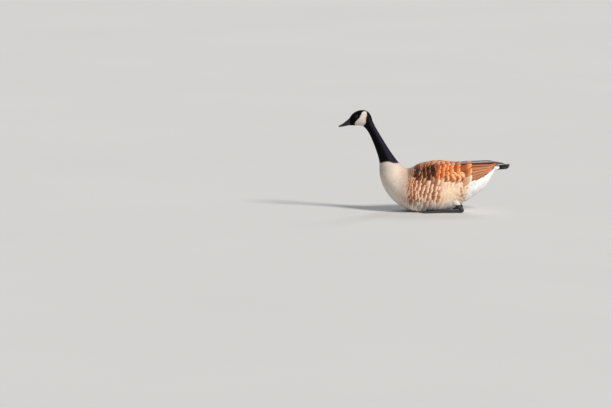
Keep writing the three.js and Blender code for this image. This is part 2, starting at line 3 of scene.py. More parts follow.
import bpy
import numpy as np
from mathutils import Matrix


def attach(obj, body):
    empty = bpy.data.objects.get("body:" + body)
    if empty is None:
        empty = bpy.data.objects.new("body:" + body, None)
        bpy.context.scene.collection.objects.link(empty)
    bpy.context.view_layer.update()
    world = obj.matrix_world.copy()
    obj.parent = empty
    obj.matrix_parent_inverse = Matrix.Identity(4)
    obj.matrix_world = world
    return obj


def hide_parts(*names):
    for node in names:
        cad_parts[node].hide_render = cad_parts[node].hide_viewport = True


# A Canada goose at rest on its belly. Sizes are in millimetres until a mesh is made, in the frame of
# the CAD model: -X is forward, -Y is the goose's left, +Z is up, and the floor is at z = 0.
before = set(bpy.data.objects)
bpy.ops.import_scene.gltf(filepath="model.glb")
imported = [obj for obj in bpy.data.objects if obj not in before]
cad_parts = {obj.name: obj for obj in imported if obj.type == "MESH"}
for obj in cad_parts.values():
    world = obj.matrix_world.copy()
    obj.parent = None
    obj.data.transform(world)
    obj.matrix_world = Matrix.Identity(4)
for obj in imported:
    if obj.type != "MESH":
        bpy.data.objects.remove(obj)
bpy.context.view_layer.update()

MM = 0.001
SEED = 20
SIDES = ((-1, "left"), (1, "right"))
FULL_TURN = 2 * math.pi

# Sections of the body and of the folded wing, as in the CAD model

# Top [x, z] and bottom [x, z] on the mid-plane, half-width, how far up the widest place is, squareness.
BODY = [
    ((250, 180), (250, 157), 26, 0.50, 2.2),  # 0 tail root
    ((234, 184), (234, 127), 39, 0.55, 2.2),  # 1 under tail
    ((212, 187), (212, 93), 52, 0.56, 2.15),  # 2 vent
    ((180, 189), (180, 67), 66, 0.54, 2.1),  # 3 rump
    ((140, 190), (140, 41), 80, 0.50, 2.1),  # 4 thigh
    ((95, 192), (95, 14), 91, 0.48, 2.1),  # 5 loin
    ((45, 197), (45, -4), 97, 0.46, 2.1),  # 6 back
    ((0, 194), (-5, -6), 98, 0.46, 2.1),  # 7 fore back
    ((-42, 184), (-58, -4), 95, 0.46, 2.1),  # 8 shoulder
    ((-72, 170), (-105, 15), 88, 0.46, 2.1),  # 9 crop
    ((-90, 166), (-146, 45), 77, 0.47, 2.1),  # 10 breast
    ((-103, 170), (-177, 86), 63, 0.48, 2.05),  # 11 upper breast
    ((-114, 180), (-193, 128), 50, 0.49, 2),  # 12 neck root
    ((-126, 194), (-197, 162), 39.5, 0.5, 2),  # 13 neck foot
    ((-139, 211), (-197, 187), 31, 0.5, 2),  # 14 collar
    ((-156, 235), (-202, 213), 24.5, 0.5, 2),  # 15 lower neck
    ((-175, 265), (-213, 246), 20.5, 0.5, 2),  # 16 middle neck
    ((-194, 296), (-226, 279), 18, 0.5, 2),  # 17 upper neck
    ((-211, 325), (-239.5, 307), 17, 0.5, 2),  # 18 throat
    ((-224, 351), (-252, 324), 18, 0.5, 2),  # 19 nape
    ((-231, 373), (-262, 332.5), 20, 0.5, 2),  # 20 hind head
    ((-241, 387), (-270, 334.5), 21.5, 0.48, 2.05),  # 21 ear
    ((-255, 394), (-278, 335), 22, 0.46, 2.1),  # 22 hind crown
    ((-271, 394.5), (-286, 335), 21.3, 0.46, 2.15),  # 23 crown
    ((-286, 390.5), (-294, 335), 19.5, 0.47, 2.2),  # 24 eye
    ((-299, 383), (-301, 335.5), 17, 0.46, 2.2),  # 25 brow
    ((-308.5, 373), (-307.5, 335), 14.5, 0.44, 2.2),  # 26 face
    ((-315, 363), (-313, 336), 12.3, 0.42, 2.2),  # 27 bill root
]
# From the wing's tip forward, and from the loin on the body's own.
WING = [
    ((292, 193.5), (292, 179), 14, 0.5, 2),
    ((260, 194.5), (260, 174), 23, 0.5, 2),
    ((226, 196), (226, 138), 43, 0.5, 2.1),
    ((184, 195.5), (184, 98), 64, 0.5, 2.1),
    ((140, 194), (140, 52), 81, 0.49, 2.1),
    *BODY[5:10],
]
# Angles of the folded wing's upper and lower edge on each of its sections.
WING_UPPER = [32, 16, 9, 8, 9, 10, 11, 13, 19, 33]
WING_LOWER = [95, 112, 122, 111, 97, 84, 77, 72, 60, 48]
BILL = [
    BODY[-1],
    ((-327, 352.5), (-326, 333.2), 11.2, 0.42, 2.3),
    ((-339, 343), (-338, 331), 10.3, 0.42, 2.4),
    ((-349, 336.8), (-348, 329.2), 8.8, 0.45, 2.4),
    ((-356.5, 332), (-355, 328.8), 4.4, 0.5, 2.2),
]
# From the tail feathers forward to the body.
TAIL_ROOT = [
    ((281, 176.5), (281, 168.5), 22, 0.6, 2.6),
    ((265, 178.5), (265, 161), 25, 0.5, 2.4),
    BODY[0],
]
# Places along the body's sections.
HEAD_STARTS = 19.5
BILL_ROOT = 27
WING_ENDS = 8.6
# No feather comes nearer to the floor.
FLOOR_GAP = 0.4


def columns(sections):
    """The sections' numbers as seven lists, one for each measure."""
    return np.array([[*top, *bottom, *rest] for top, bottom, *rest in sections]).T


TOP_X, TOP_Z, BOTTOM_X, BOTTOM_Z, HALF, WIDEST, SQUARE = range(7)
BODY, WING, BILL, TAIL_ROOT = (columns(s) for s in (BODY, WING, BILL, TAIL_ROOT))
NECK_X, NECK_Z = (BODY[[TOP_X, TOP_Z], 12:22] + BODY[[BOTTOM_X, BOTTOM_Z], 12:22]) / 2


def value_at(values, t):
    """Catmull-Rom curve through a list at places t, carried on straight past its ends."""
    values = np.asarray(values, float)
    t = np.asarray(t, float)
    i = np.clip(np.floor(t).astype(int), 0, len(values) - 2)
    more = np.concatenate([[2 * values[0] - values[1]], values, [2 * values[-1] - values[-2]]])
    a, b, c, d = more[i], more[i + 1], more[i + 2], more[i + 3]
    u = t - i
    m0, m1 = (c - a) / 2, (d - b) / 2
    return (((2 * b - 2 * c + m0 + m1) * u - 3 * b + 3 * c - 2 * m0 - m1) * u + m0) * u + b


def on_section(sections, t, angle):
    """Points at places t and angles from the top, in degrees; the left side is up to 180."""
    t, angle = np.broadcast_arrays(np.asarray(t, float), np.asarray(angle, float))
    tx, tz, bx, bz, half, widest, square = (value_at(row, t) for row in sections)
    power = 2 / square
    radians = np.radians(angle)
    rise, side = np.cos(radians), np.sin(radians)
    cx, cz = bx + (tx - bx) * widest, bz + (tz - bz) * widest
    up = rise > 0
    share = np.abs(rise) ** power
    x = cx + (np.where(up, tx, bx) - cx) * share
    z = cz + (np.where(up, tz, bz) - cz) * share
    y = -np.sign(side) * half * np.abs(side) ** power
    return np.stack([x, y, z], -1)


def moves(sections, t, angle, small, turn):
    """How a point moves from small before t to small past it, and over as much of a turn."""
    along = on_section(sections, t + small, angle) - on_section(sections, t - small, angle)
    around = on_section(sections, t, angle + turn) - on_section(sections, t, angle - turn)
    return along, around


def off_section(sections, t, angle, height):
    """The same points moved out of the surface by a height, and never below the floor."""
    normal = np.cross(*moves(sections, t, angle, 0.01, 0.5))
    normal /= np.linalg.norm(normal, axis=-1, keepdims=True) + 1e-12
    point = on_section(sections, t, angle) + normal * np.asarray(height)[..., None]
    point[..., 2] = np.maximum(point[..., 2], FLOOR_GAP)
    return point


def metric(sections, t, angle):
    """Millimetres for each unit of t, and for each degree, at a place."""
    small, turn = 0.02, 1
    along, around = moves(sections, t, angle, small, turn)
    return np.linalg.norm(along, axis=-1) / (2 * small), np.linalg.norm(around, axis=-1) / (2 * turn)


def side_at(sections, t, z, upper):
    """Half the width at places t and heights z, over or under the widest place."""
    measures = (TOP_Z, BOTTOM_Z, HALF, WIDEST, SQUARE)
    top, bottom, half, widest, square = (value_at(sections[k], t) for k in measures)
    centre = bottom + (top - bottom) * widest
    away = np.clip((z - centre) / ((top if upper else bottom) - centre), 0, 1)
    return half * (1 - away ** square) ** (1 / square)


def from_top(angle):
    """Degrees from the top on either side."""
    return np.where(angle > 180, 360 - angle, angle)


def ring(count, full=360):
    """Evenly spaced angles of a full turn."""
    return np.linspace(0, full, count + 1)[:-1]


# Meshes

def make_mesh(name, points, faces, material, smooth=True, uv=None, bake=None, colours=None, mirror=False):
    """A Blender object from arrays: points in millimetres, and faces of four corners."""
    points = np.asarray(points, float).reshape(-1, 3) * MM
    faces = np.asarray(faces, np.int32)
    if mirror:
        points = points * [1, -1, 1]
        faces = faces[:, ::-1]
    mesh = bpy.data.meshes.new(name)
    mesh.vertices.add(len(points))
    mesh.vertices.foreach_set("co", points.ravel())
    mesh.loops.add(faces.size)
    mesh.loops.foreach_set("vertex_index", faces.ravel())
    mesh.polygons.add(len(faces))
    mesh.polygons.foreach_set("loop_start", np.arange(0, faces.size, 4, dtype=np.int32))
    mesh.polygons.foreach_set("loop_total", np.full(len(faces), 4, np.int32))
    mesh.update(calc_edges=True)
    mesh.polygons.foreach_set("use_smooth", np.full(len(faces), smooth))
    for layer, values in (("Vane", uv), ("OFBake", bake)):
        if values is not None:
            corners = np.asarray(values, float).reshape(-1, 2)[faces.ravel()]
            mesh.uv_layers.new(name=layer).data.foreach_set("uv", corners.ravel())
    for key, values in (colours or {}).items():
        rgba = np.ones((len(points), 4))
        values = np.asarray(values, float).reshape(len(points), -1)
        rgba[:, : values.shape[1]] = values
        mesh.color_attributes.new(key, "FLOAT_COLOR", "POINT").data.foreach_set("color", rgba.ravel())
    obj = bpy.data.objects.new(name, mesh)
    bpy.context.scene.collection.objects.link(obj)
    mesh.materials.append(material)
    return obj


def piece(name, points, faces, material, slot, *nodes, **layers):
    """A mesh that rides on the body and stands for the nodes, which it hides; slot is not used."""
    obj = make_mesh(name, points, faces, material, **layers)
    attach(obj, "root")
    if nodes:
        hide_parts(*nodes)


def grid_faces(rows, cols, wrap=False):
    """Quads of a grid of points, with the last column joined to the first if it wraps."""
    r, c = np.meshgrid(np.arange(rows - 1), np.arange(cols if wrap else cols - 1), indexing="ij")
    a = r * cols + c
    b = r * cols + (c + 1) % cols
    return np.stack([a, b, b + cols, a + cols], -1).reshape(-1, 4)


def with_ends(rows):
    """Rows of values for the rings that capped adds at either end."""
    return np.concatenate([rows[:1], rows[:1], rows, rows[-1:], rows[-1:]])


def capped(points):
    """A closed loft through rings of points, its ends drawn in to their middles: points and faces."""
    drawn = [np.array([1, 0.5])[:, None, None], np.array([0.5, 1])[:, None, None]]
    first, last = (end + (end.mean(1, keepdims=True) - end) * share
                   for end, share in zip((points[:1], points[-1:]), drawn))
    rings = np.concatenate([first, points, last])
    return rings, grid_faces(*rings.shape[:2], wrap=True)[:, ::-1]


def joined(shapes):
    """Several shapes as one: points and faces."""
    points, faces, base = [], [], 0
    for some, corners in shapes:
        points.append(some.reshape(-1, 3))
        faces.append(corners + base)
        base += len(points[-1])
    return np.concatenate(points), np.concatenate(faces)


def unwrap(points):
    """An even unwrap of rings of points."""
    rows, cols = points.shape[:2]
    return np.stack(np.meshgrid(np.linspace(0, 1, cols), np.linspace(0, 1, rows)), -1)


# Colours

def rgb(red, green, blue):
    """A colour from screen values of 0 to 255, made linear."""
    c = np.array([red, green, blue]) / 255
    return np.where(c <= 0.04045, c / 12.92, ((c + 0.055) / 1.055) ** 2.4)


BLACK = rgb(7, 6, 9)
# A painted lilac sheen for the back of the black neck.
NECK_PAINTED_SHEEN = rgb(44, 38, 54)
CHEEK = rgb(246, 236, 224)
CREAM = rgb(238, 226, 214)
BUFF = rgb(212, 180, 158)
SHOULDER = rgb(112, 72, 56)
SHOULDER_LOW = rgb(200, 140, 108)
CINNAMON = rgb(222, 112, 44)
BRIGHT_CINNAMON = rgb(250, 148, 76)
DARK_BROWN = rgb(24, 13, 9)
STREAKED_BROWN = rgb(74, 40, 27)
PEACH = rgb(248, 196, 148)
CREAM_RIM = rgb(252, 226, 196)
FLANK_BAR = rgb(216, 142, 104)
ORANGE_RIM = rgb(184, 106, 58)
SALMON = rgb(240, 176, 136)
PALE_FLANK = rgb(255, 230, 200)
TAN = rgb(224, 146, 88)
DULL_TAN = rgb(212, 164, 132)
PRIMARY_DARK = rgb(34, 29, 33)
# Pale grey-lilac edges on the dark primaries and tail feathers: painted sheen of the sky.
EDGE_PAINTED_SHEEN = rgb(150, 146, 160)
WHITE = rgb(252, 251, 250)
GREY_BUFF = rgb(216, 206, 196)
TAIL_BLACK = rgb(18, 16, 18)

# Outlines of markings seen from the side, as [x, z].
CHEEK_OUTLINE = [(-264.5, 387), (-258, 391.5), (-251.5, 391.5), (-247, 387.5), (-245.5, 381), (-247, 374),
                 (-249.5, 366), (-250.5, 358), (-250, 350), (-252, 343), (-258, 336), (-262, 326),
                 (-286, 326), (-292, 336), (-293.5, 343), (-289.5, 351), (-282.5, 359), (-274.5, 366),
                 (-271, 374), (-267, 382)]
# Behind the shoulder: dark scapulars, with painted shadow between them and under the flank's edge.
DARK_PATCH_WITH_PAINTED_SHADE = [(-52, 172), (-36, 182), (-14, 184), (4, 187), (20, 186), (15, 168), (17, 150), (8, 122),
              (-8, 115), (-24, 122), (-40, 136), (-54, 157)]
# The height at which the black of the neck ends.
STOCKING_ENDS = 191


def step(low, high, x):
    """0 below low, 1 above high, and smooth between."""
    u = np.clip((np.asarray(x, float) - low) / (high - low), 0, 1)
    return u * u * (3 - 2 * u)


def bell(x, power=2):
    """1 at 0, and falling toward 0 past 1."""
    return np.exp(-(x ** power))


def mix(a, b, share):
    return a + (b - a) * np.asarray(share)[..., None]


def inside(outline, x, z):
    """How far inside an outline a point is, in millimetres, less than 0 outside."""
    outline = np.array(outline, float)
    crossing = np.zeros(np.shape(x), bool)
    nearest = np.full(np.shape(x), 1e9)
    for (x0, z0), (x1, z1) in zip(outline, np.roll(outline, -1, 0)):
        dx, dz = x1 - x0, z1 - z0
        u = np.clip(((x - x0) * dx + (z - z0) * dz) / (dx * dx + dz * dz), 0, 1)
        nearest = np.minimum(nearest, np.hypot(x - x0 - u * dx, z - z0 - u * dz))
        between = (z0 > z) != (z1 > z)
        crossing ^= between & (x < x0 + dx * (z - z0) / np.where(dz == 0, 1e-9, dz))
    return np.where(crossing, nearest, -nearest)


def markings(point, on_wing=False):
    """Tone, base darkness, rim colour and rim strength of the plumage at points of the body or the wing.

    Each step names the places in millimetres between which one colour gives way to the next.
    """
    x, y, z = np.moveaxis(point, -1, 0)
    # Cream breast, turning buff and then brown at the shoulder.
    tone = mix(np.broadcast_to(CREAM, x.shape + (3,)), BUFF, step(-140, -95, x) * 0.8)
    high = step(132, 156, z)
    tone = mix(tone, mix(SHOULDER_LOW, SHOULDER, high), step(-94, -80, x))
    depth = 0.1 + 0.8 * step(-96, -82, x)
    strength = 0.15 + 0.75 * step(-92, -74, x) * (1 - 0.45 * high * step(-50, -64, x))
    # Cinnamon back and wing, tan at the rear, and behind the shoulder a patch of dark feathers with painted
    # shadow over them.
    reach = step(20, 60, x)
    upper = step(-54, -40, x) * step(122 - 14 * reach, 138 + 18 * reach, z)
    warm = mix(CINNAMON, BRIGHT_CINNAMON, step(10, 90, x))
    # Toward the top of the back the cinnamon turns salmon: a painted highlight where the feathers face the
    # light from above.
    tone = mix(tone, mix(warm, SALMON, 0.6 * step(183, 195, z)), upper)
    tone = mix(tone, TAN, upper * step(112, 134, x) * step(186, 168, z))
    # The patch's dark brown is partly the scapulars' own dark bases and partly painted shadow between them
    # and under the flank's edge.
    depth_in_patch = inside(DARK_PATCH_WITH_PAINTED_SHADE, x, z)
    dark = step(-9, 7, depth_in_patch)
    tone = mix(tone, mix(DARK_BROWN, STREAKED_BROWN, step(8, 22, depth_in_patch)), dark)
    rim = mix(np.broadcast_to(PEACH, tone.shape), ORANGE_RIM, dark * 0.9)
    # Salmon flank, paler at the rear, with bars there.
    flank = step(-75, -50, x) * step(140, 122, z)
    tone = mix(tone, SALMON, flank)
    tone = mix(tone, PALE_FLANK, flank * step(15, 70, x))
    tone = mix(tone, DULL_TAN, step(104, 120, x) * step(140, 124, z))
    rim = mix(rim, CREAM_RIM, flank)
    bars = flank * step(28, 50, x) * step(100, 112, z) * step(112, 90, x)
    rim = mix(rim, FLANK_BAR, bars * 0.6)
    # Grey-buff belly and white vent.
    belly = step(60, 22, z) * step(-140, -80, x)
    tone = mix(tone, GREY_BUFF, belly)
    depth = depth * (1 - 0.75 * flank * step(30, 60, x))
    vent = step(140, 152, x + (115 - z) * 0.25) * step(190, 182, z)
    white = np.maximum(vent, step(60, 100, x) * step(52, 30, z))
    tone = mix(tone, WHITE, white)
    depth = depth * (1 - white) * (1 - 0.6 * belly)
    strength = strength * (1 - 0.85 * white) * (1 - 0.5 * belly)
    rim = mix(rim, WHITE, np.maximum(white, belly))
    # Rump between the wings, and the white band before the tail.
    if not on_wing:
        rump = step(34, 22, np.abs(y)) * step(184, 188, z) * step(84, 100, x)
        tone = mix(tone, DARK_BROWN, rump * step(236, 228, x))
        tone = mix(tone, WHITE, rump * step(228, 236, x))
        strength = strength * (1 - rump)
    # Black neck and head, with a painted sheen at the back of the neck, and the pale cheek.
    border = STOCKING_ENDS + 7 * bell((x + 168) / 20)
    black = step(-2, 2, z - border) * step(-90, -110, x)
    behind = (x - np.interp(z, NECK_Z, NECK_X)) / 14
    tone = mix(tone, mix(BLACK, NECK_PAINTED_SHEEN, step(0.1, 1, behind) * step(375, 330, z)), black)
    tone = mix(tone, CHEEK, step(-0.8, 0.8, inside(CHEEK_OUTLINE, x, z)))
    return tone, depth * (1 - black), rim, strength * (1 - black)


# Materials

class Graph:
    """Short names for building a node material."""

    def __init__(self, name):
        self.material = bpy.data.materials.new(name)
        self.material.use_nodes = True
        self.tree = self.material.node_tree
        self.shader = self.tree.nodes["Principled BSDF"]

    def put(self, target, value):
        """A value or a link into a socket."""
        if isinstance(value, bpy.types.NodeSocket):
            self.tree.links.new(value, target)
        else:
            target.default_value = value

    def node(self, kind, inputs=(), **settings):
        """A node with its settings, and its inputs by name or number."""
        made = self.tree.nodes.new("ShaderNode" + kind)
        for key, value in settings.items():
            setattr(made, key, value)
        for key, value in dict(inputs).items():
            self.put(made.inputs[key], value)
        return made

    def math(self, operation, *values):
        return self.node("Math", enumerate(values), operation=operation).outputs[0]

    def plus(self, a, b):
        return self.math("ADD", a, b)

    def times(self, a, b):
        return self.math("MULTIPLY", a, b)

    def ramp(self, value, low, high):
        """0 below low, 1 above high, and smooth between."""
        inputs = {"Value": value, "From Min": low, "From Max": high}
        return self.node("MapRange", inputs, interpolation_type="SMOOTHSTEP").outputs[0]

    def blend(self, a, b, share, how="MIX"):
        return self.node("Mix", {0: share, 6: a, 7: b}, data_type="RGBA", blend_type=how).outputs[2]

    def shaded(self, colour, value):
        """A colour made darker by a value."""
        grey = self.node("CombineColor", {0: value, 1: value, 2: value})
        return self.blend(colour, grey.outputs[0], 1.0, "MULTIPLY")

    def place(self, kind="Object"):
        return self.node("TexCoord").outputs[kind]

    def axes(self, source):
        return self.node("SeparateXYZ", {0: source}).outputs

    def vane(self):
        """Places across a feather, from 0 to 1, and along it."""
        return self.axes(self.node("UVMap", uv_map="Vane").outputs[0])

    def painted(self, layer):
        """A colour of the mesh, and its alpha."""
        return self.node("VertexColor", layer_name=layer).outputs

    def noise(self, scale, detail=3.0, stretch=(1, 1, 1)):
        mapping = self.node("Mapping", {"Vector": self.place(), "Scale": stretch})
        inputs = {"Vector": mapping.outputs[0], "Scale": scale, "Detail": detail}
        return self.node("TexNoise", inputs).outputs[0]

    def bump(self, height, strength, distance):
        made = self.node("Bump", {"Height": height, "Strength": strength, "Distance": distance})
        self.put(self.shader.inputs["Normal"], made.outputs[0])

    def surface(self, colour, roughness, specular=0.5, sheen=0.0, sheen_tint=(1, 1, 1, 1), coat=0.0):
        """The shader's colour and gloss. Returns the material."""
        values = {"Base Color": colour, "Roughness": roughness, "Specular IOR Level": specular,
                  "Sheen Weight": sheen, "Sheen Tint": sheen_tint, "Coat Weight": coat}
        for key, value in values.items():
            self.put(self.shader.inputs[key], value)
        return self.material


def feather_material(name, gloss, barbs, rim, side, shaft):
    """Vanes with barbs, a shaft, a darker base and a rim of another colour. Colours come from the mesh.

    gloss is roughness, specular, sheen and its tint. The rim fades between two distances from the tip,
    and the sides count as that far away times side.
    """
    g = Graph(name)
    sideways, along, _ = g.vane()
    across = g.math("ABSOLUTE", g.math("SUBTRACT", g.times(sideways, 2.0), 1.0))
    tone, depth = g.painted("tone")[:2]
    rim_colour, strength = g.painted("rim")[:2]
    ragged = g.times(g.math("SUBTRACT", g.noise(700.0), 0.5), 0.1)
    # Red-brown toward the root.
    under = g.times(g.ramp(g.plus(along, ragged), 0.95, 0.6), depth)
    colour = g.blend(tone, (0.3, 0.16, 0.11, 1), under, "MULTIPLY")
    from_side = g.times(g.math("SUBTRACT", 1.0, across), side)
    distance = g.math("SMOOTH_MIN", from_side, g.math("SUBTRACT", 1.0, along), 0.12)
    share = g.ramp(g.plus(distance, ragged), rim[1], rim[0])
    colour = g.blend(colour, rim_colour, g.times(share, strength))
    # Fine barbs that slant back from the shaft, and mottle.
    wave = g.math("SINE", g.times(g.plus(along, g.times(across, -0.45)), barbs))
    mottle = g.plus(g.times(g.noise(240.0, 5.0), 0.5), 0.74)
    colour = g.shaded(colour, g.plus(g.times(wave, 0.05), mottle))
    on_shaft = g.times(g.ramp(across, 0.06, 0.02), shaft)
    colour = g.blend(colour, (0.03, 0.016, 0.012, 1), on_shaft)
    g.bump(g.plus(g.times(wave, 0.5), g.times(on_shaft, 2.0)), 0.3, 0.0003)
    return g.surface(colour, *gloss)


def tuft_material():
    """Short soft feathers of head and neck: one tone with a little mottle, darker at the root."""
    g = Graph("neck_feathers")
    mottle = g.plus(g.times(g.noise(300.0), 0.35), 0.62)
    value = g.plus(g.times(g.vane()[1], 0.25), mottle)
    colour = g.shaded(g.painted("tone")[0], value)
    return g.surface(colour, 0.65, 0.1, 0.05, (0.6, 0.55, 0.9, 1))


def skin_material():
    """Down under the feathers."""
    g = Graph("skin_down")
    colour = g.shaded(g.painted("tone")[0], g.plus(g.times(g.noise(400.0, 4.0), 0.4), 0.6))
    g.bump(g.noise(900.0), 0.5, 0.0006)
    return g.surface(colour, 0.9, 0.2)


def horn_material(name, colour, roughness, scale):
    """Horn with streaks along its height."""
    g = Graph(name)
    light = tuple(min(1, c * 2.4 + 0.006) for c in colour)
    streaks = g.ramp(g.noise(scale, 5.0, (1, 1, 2.5)), 0.35, 0.75)
    g.bump(g.noise(scale * 3, 4.0, (1, 1, 3)), 0.25, 0.0003)
    return g.surface(g.blend((*colour, 1), (*light, 1), streaks), roughness, coat=0.1)


def eye_material():
    """A dark pupil, a brown iris and a darker ring."""
    g = Graph("eye")
    x, _, z = g.axes(g.place("Generated"))
    dx, dz = g.math("SUBTRACT", x, 0.5), g.math("SUBTRACT", z, 0.5)
    radius = g.math("SQRT", g.plus(g.times(dx, dx), g.times(dz, dz)))
    iris = g.blend((0.003, 0.002, 0.002, 1), (0.02, 0.008, 0.004, 1), g.ramp(radius, 0.2, 0.23))
    iris = g.blend(iris, (0.008, 0.004, 0.003, 1), g.ramp(radius, 0.32, 0.36))
    return g.surface(iris, 0.06, 0.28)


def leg_material():
    """Scaled skin."""
    g = Graph("leg_skin")
    cells = g.node("TexVoronoi", {"Vector": g.place(), "Scale": 420.0}, feature="DISTANCE_TO_EDGE")
    edge = g.ramp(cells.outputs["Distance"], 0.02, 0.16)
    tone = g.blend((0.012, 0.012, 0.013, 1), (0.045, 0.044, 0.046, 1), edge)
    tone = g.blend(tone, (0.07, 0.066, 0.06, 1), g.ramp(g.noise(60.0), 0.5, 0.8))
    g.bump(edge, 0.6, 0.0005)
    return g.surface(tone, 0.55, 0.4)


MATERIALS = {
    "body": feather_material("body_feathers", (0.8, 0.2, 0.3, (1, 0.96, 0.9, 1)), barbs=90.0,
                             rim=(0.1, 0.2), side=0.42, shaft=0.08),
    "flank": feather_material("flank_feathers", (0.75, 0.22, 0.25, (1, 0.93, 0.86, 1)), barbs=200.0,
                              rim=(0.08, 0.26), side=4.0, shaft=0.15),
    "covert": feather_material("wing_coverts", (0.68, 0.2, 0.1, (1, 0.9, 0.8, 1)), barbs=260.0,
                               rim=(0.04, 0.12), side=4.0, shaft=0.25),
    "flight": feather_material("flight_feathers", (0.58, 0.35, 0.1, (1, 0.95, 0.9, 1)), barbs=520.0,
                               rim=(0.02, 0.05), side=0.2, shaft=0.6),
    "tail": feather_material("tail_feathers", (0.45, 0.45, 0.1, (0.8, 0.85, 1, 1)), barbs=420.0,
                             rim=(0.02, 0.05), side=0.3, shaft=0.3),
    "neck": tuft_material(),
    "skin": skin_material(),
}


# Feathers over a surface

# Half the breadth of a vane along its length, as a share of the most.
OUTLINE_ALONG = [0, 0.2, 0.45, 0.7, 0.86, 0.95, 1]
ROUND = [0.35, 0.72, 0.96, 1, 0.86, 0.62, 0.3]
BROAD = [0.4, 0.74, 0.96, 1, 0.97, 0.84, 0.5]
BLUNT = [0.5, 0.8, 0.98, 1, 0.96, 0.86, 0.6]
LONG = [0.6, 0.8, 1, 0.95, 0.74, 0.5, 0.14]
POINTED = [0.8, 0.95, 1, 0.8, 0.52, 0.3, 0.08]


class Form:
    """The shape of n feathers in their own terms: v along, w from side to side, and faces.

    v is 0 at the root and 1 at the tip, and w is -1 and 1 half a width from the shaft.
    """

    def __init__(self, n):
        self.n = n
        self.v, self.w, self.lift, self.faces = [], [], [], []
        self.count = 0

    def add(self, v, w, lift, faces):
        shape = (self.n,) + v.shape[1:]
        for store, values in ((self.v, v), (self.w, w), (self.lift, lift)):
            store.append(np.broadcast_to(values, shape).reshape(self.n, -1))
        self.faces.append(faces + self.count)
        self.count += self.v[-1].shape[1]

    def plate(self, rng, outline, rows, cols, fray):
        """One vane, its tip rounded and a little torn."""
        along = 1 - (1 - np.linspace(0, 1, rows)) ** 1.35
        across = np.linspace(-1, 1, cols)
        late = along[:, None] ** 5
        tear = rng.uniform(-0.6, 0.6, (self.n, 1, cols)) + 0.5 * (np.arange(cols) % 2)
        v = along[:, None] - late * (0.08 * across ** 2 + fray * tear)
        w = np.interp(along, OUTLINE_ALONG, outline)[:, None] * across
        w = w * (1 + 0.6 * fray * rng.uniform(-1, 1, (self.n, rows, cols)))
        self.outline = outline
        self.add(v, w, np.zeros(1), grid_faces(rows, cols))
        return self

    def barbs(self, rng, count, half=0.03):
        """Loose barbs over the rim, each a sliver of two faces."""
        power = 0.5 if self.outline is BLUNT else 1
        turn = np.radians(np.linspace(-100, 100, count)) + rng.uniform(-0.12, 0.12, (self.n, count))
        reach = 1 + rng.uniform(-0.35, 0.35, (self.n, count))
        rise = np.sign(np.cos(turn)) * np.abs(np.cos(turn)) ** power
        self.slivers(0.66 + 0.29 * rise, 0.88 * np.sin(turn), (0.032 + 0.026 * np.cos(turn)) * reach,
                     0.06 * np.sin(turn) * reach, half, turn, rng)
        return self

    def strands(self, rng, count, half=0.2):
        """A soft tuft: slivers side by side from the root."""
        start = np.linspace(-0.7, 0.7, count) + rng.uniform(-0.15, 0.15, (self.n, count))
        reach = 1 + rng.uniform(-0.2, 0.2, (self.n, count))
        self.outline = [1] * len(OUTLINE_ALONG)
        self.slivers(0 * start, start, reach, rng.uniform(-0.3, 0.3, (self.n, count)), half, 0 * start, rng)
        return self

    def slivers(self, v, w, dv, dw, half, turn, rng):
        """Slivers from places v, w that reach over dv, dw, each turned and half as wide as told."""
        share = np.array([0, 0.5, 1])[:, None]
        spread = half * np.array([1, 0.9, 0.2])[:, None] * np.array([-1, 1])
        v, w, dv, dw, turn = (a[..., None, None] for a in (v, w, dv, dw, turn))
        lift = rng.uniform(0.3, 1, v.shape) * (0.4 + share)
        faces = grid_faces(3, 2)[None] + 6 * np.arange(v.shape[1])[:, None, None]
        self.add(v + dv * share - spread * np.sin(turn) * 0.33, w + dw * share + spread * np.cos(turn),
                 lift, faces.reshape(-1, 4))

    def done(self):
        self.v, self.w, self.lift = (np.concatenate(a, 1) for a in (self.v, self.w, self.lift))
        self.faces = np.concatenate(self.faces)
        across = self.w / np.interp(self.v, OUTLINE_ALONG, self.outline)
        self.uv = np.stack([0.5 + 0.5 * np.clip(across, -1, 1), np.clip(self.v, 0, 1.05)], -1)
        return self


def draw(rng, n, spread):
    """n numbers between -spread and spread."""
    return rng.uniform(-spread, spread, n)


class Coat:
    """Feathers gathered from several batches into pieces under a limit of triangles."""

    LIMIT = 190000
    # How large one feather is on the unwrap.
    PATCH = 0.003

    def __init__(self, name, material, slot):
        self.name, self.material, self.slot = name, material, slot
        self.batches = []

    def add(self, points, form, look, bake):
        """look is tone, depth, rim and strength for each feather, as markings gives them."""
        tone, depth, rim, strength = look
        n = len(points)
        tone = np.concatenate([tone, np.broadcast_to(depth, n)[:, None]], 1)
        rim = np.concatenate([rim, np.broadcast_to(strength, n)[:, None]], 1)
        self.batches.append((points, form.uv, tone, rim, bake, form.faces))

    def build(self, mirror=False):
        made, group, count = 0, [], 0
        for *parts, faces in self.batches:
            n, each = len(parts[0]), 2 * len(faces)
            start = 0
            while start < n:
                take = min(n - start, max(1, (self.LIMIT - count) // each))
                group.append([part[start : start + take] for part in parts] + [faces])
                count += take * each
                start += take
                if count >= self.LIMIT - each:
                    made += 1
                    self.gather(group, made, mirror)
                    group, count = [], 0
        if group:
            self.gather(group, made + 1, mirror)

    def gather(self, group, number, mirror):
        """One piece from batches of feathers."""
        stacks, base = [], 0
        for points, uv, tone, rim, bake, faces in group:
            n, each, _ = points.shape
            faces = faces[None] + (np.arange(n) * each)[:, None, None] + base
            bake = bake[:, None] + (uv - 0.5) * self.PATCH
            flat = [points.reshape(-1, 3), faces.reshape(-1, 4), uv.reshape(-1, 2), bake.reshape(-1, 2)]
            stacks.append(flat + [np.repeat(tone, each, 0), np.repeat(rim, each, 0)])
            base += n * each
        points, faces, uv, bake, tone, rim = (np.concatenate(stack) for stack in zip(*stacks))
        piece(f"{self.name}_{number}", points, faces, MATERIALS[self.material], self.slot, uv=uv, bake=bake,
              mirror=mirror, colours={"tone": tone, "rim": rim})


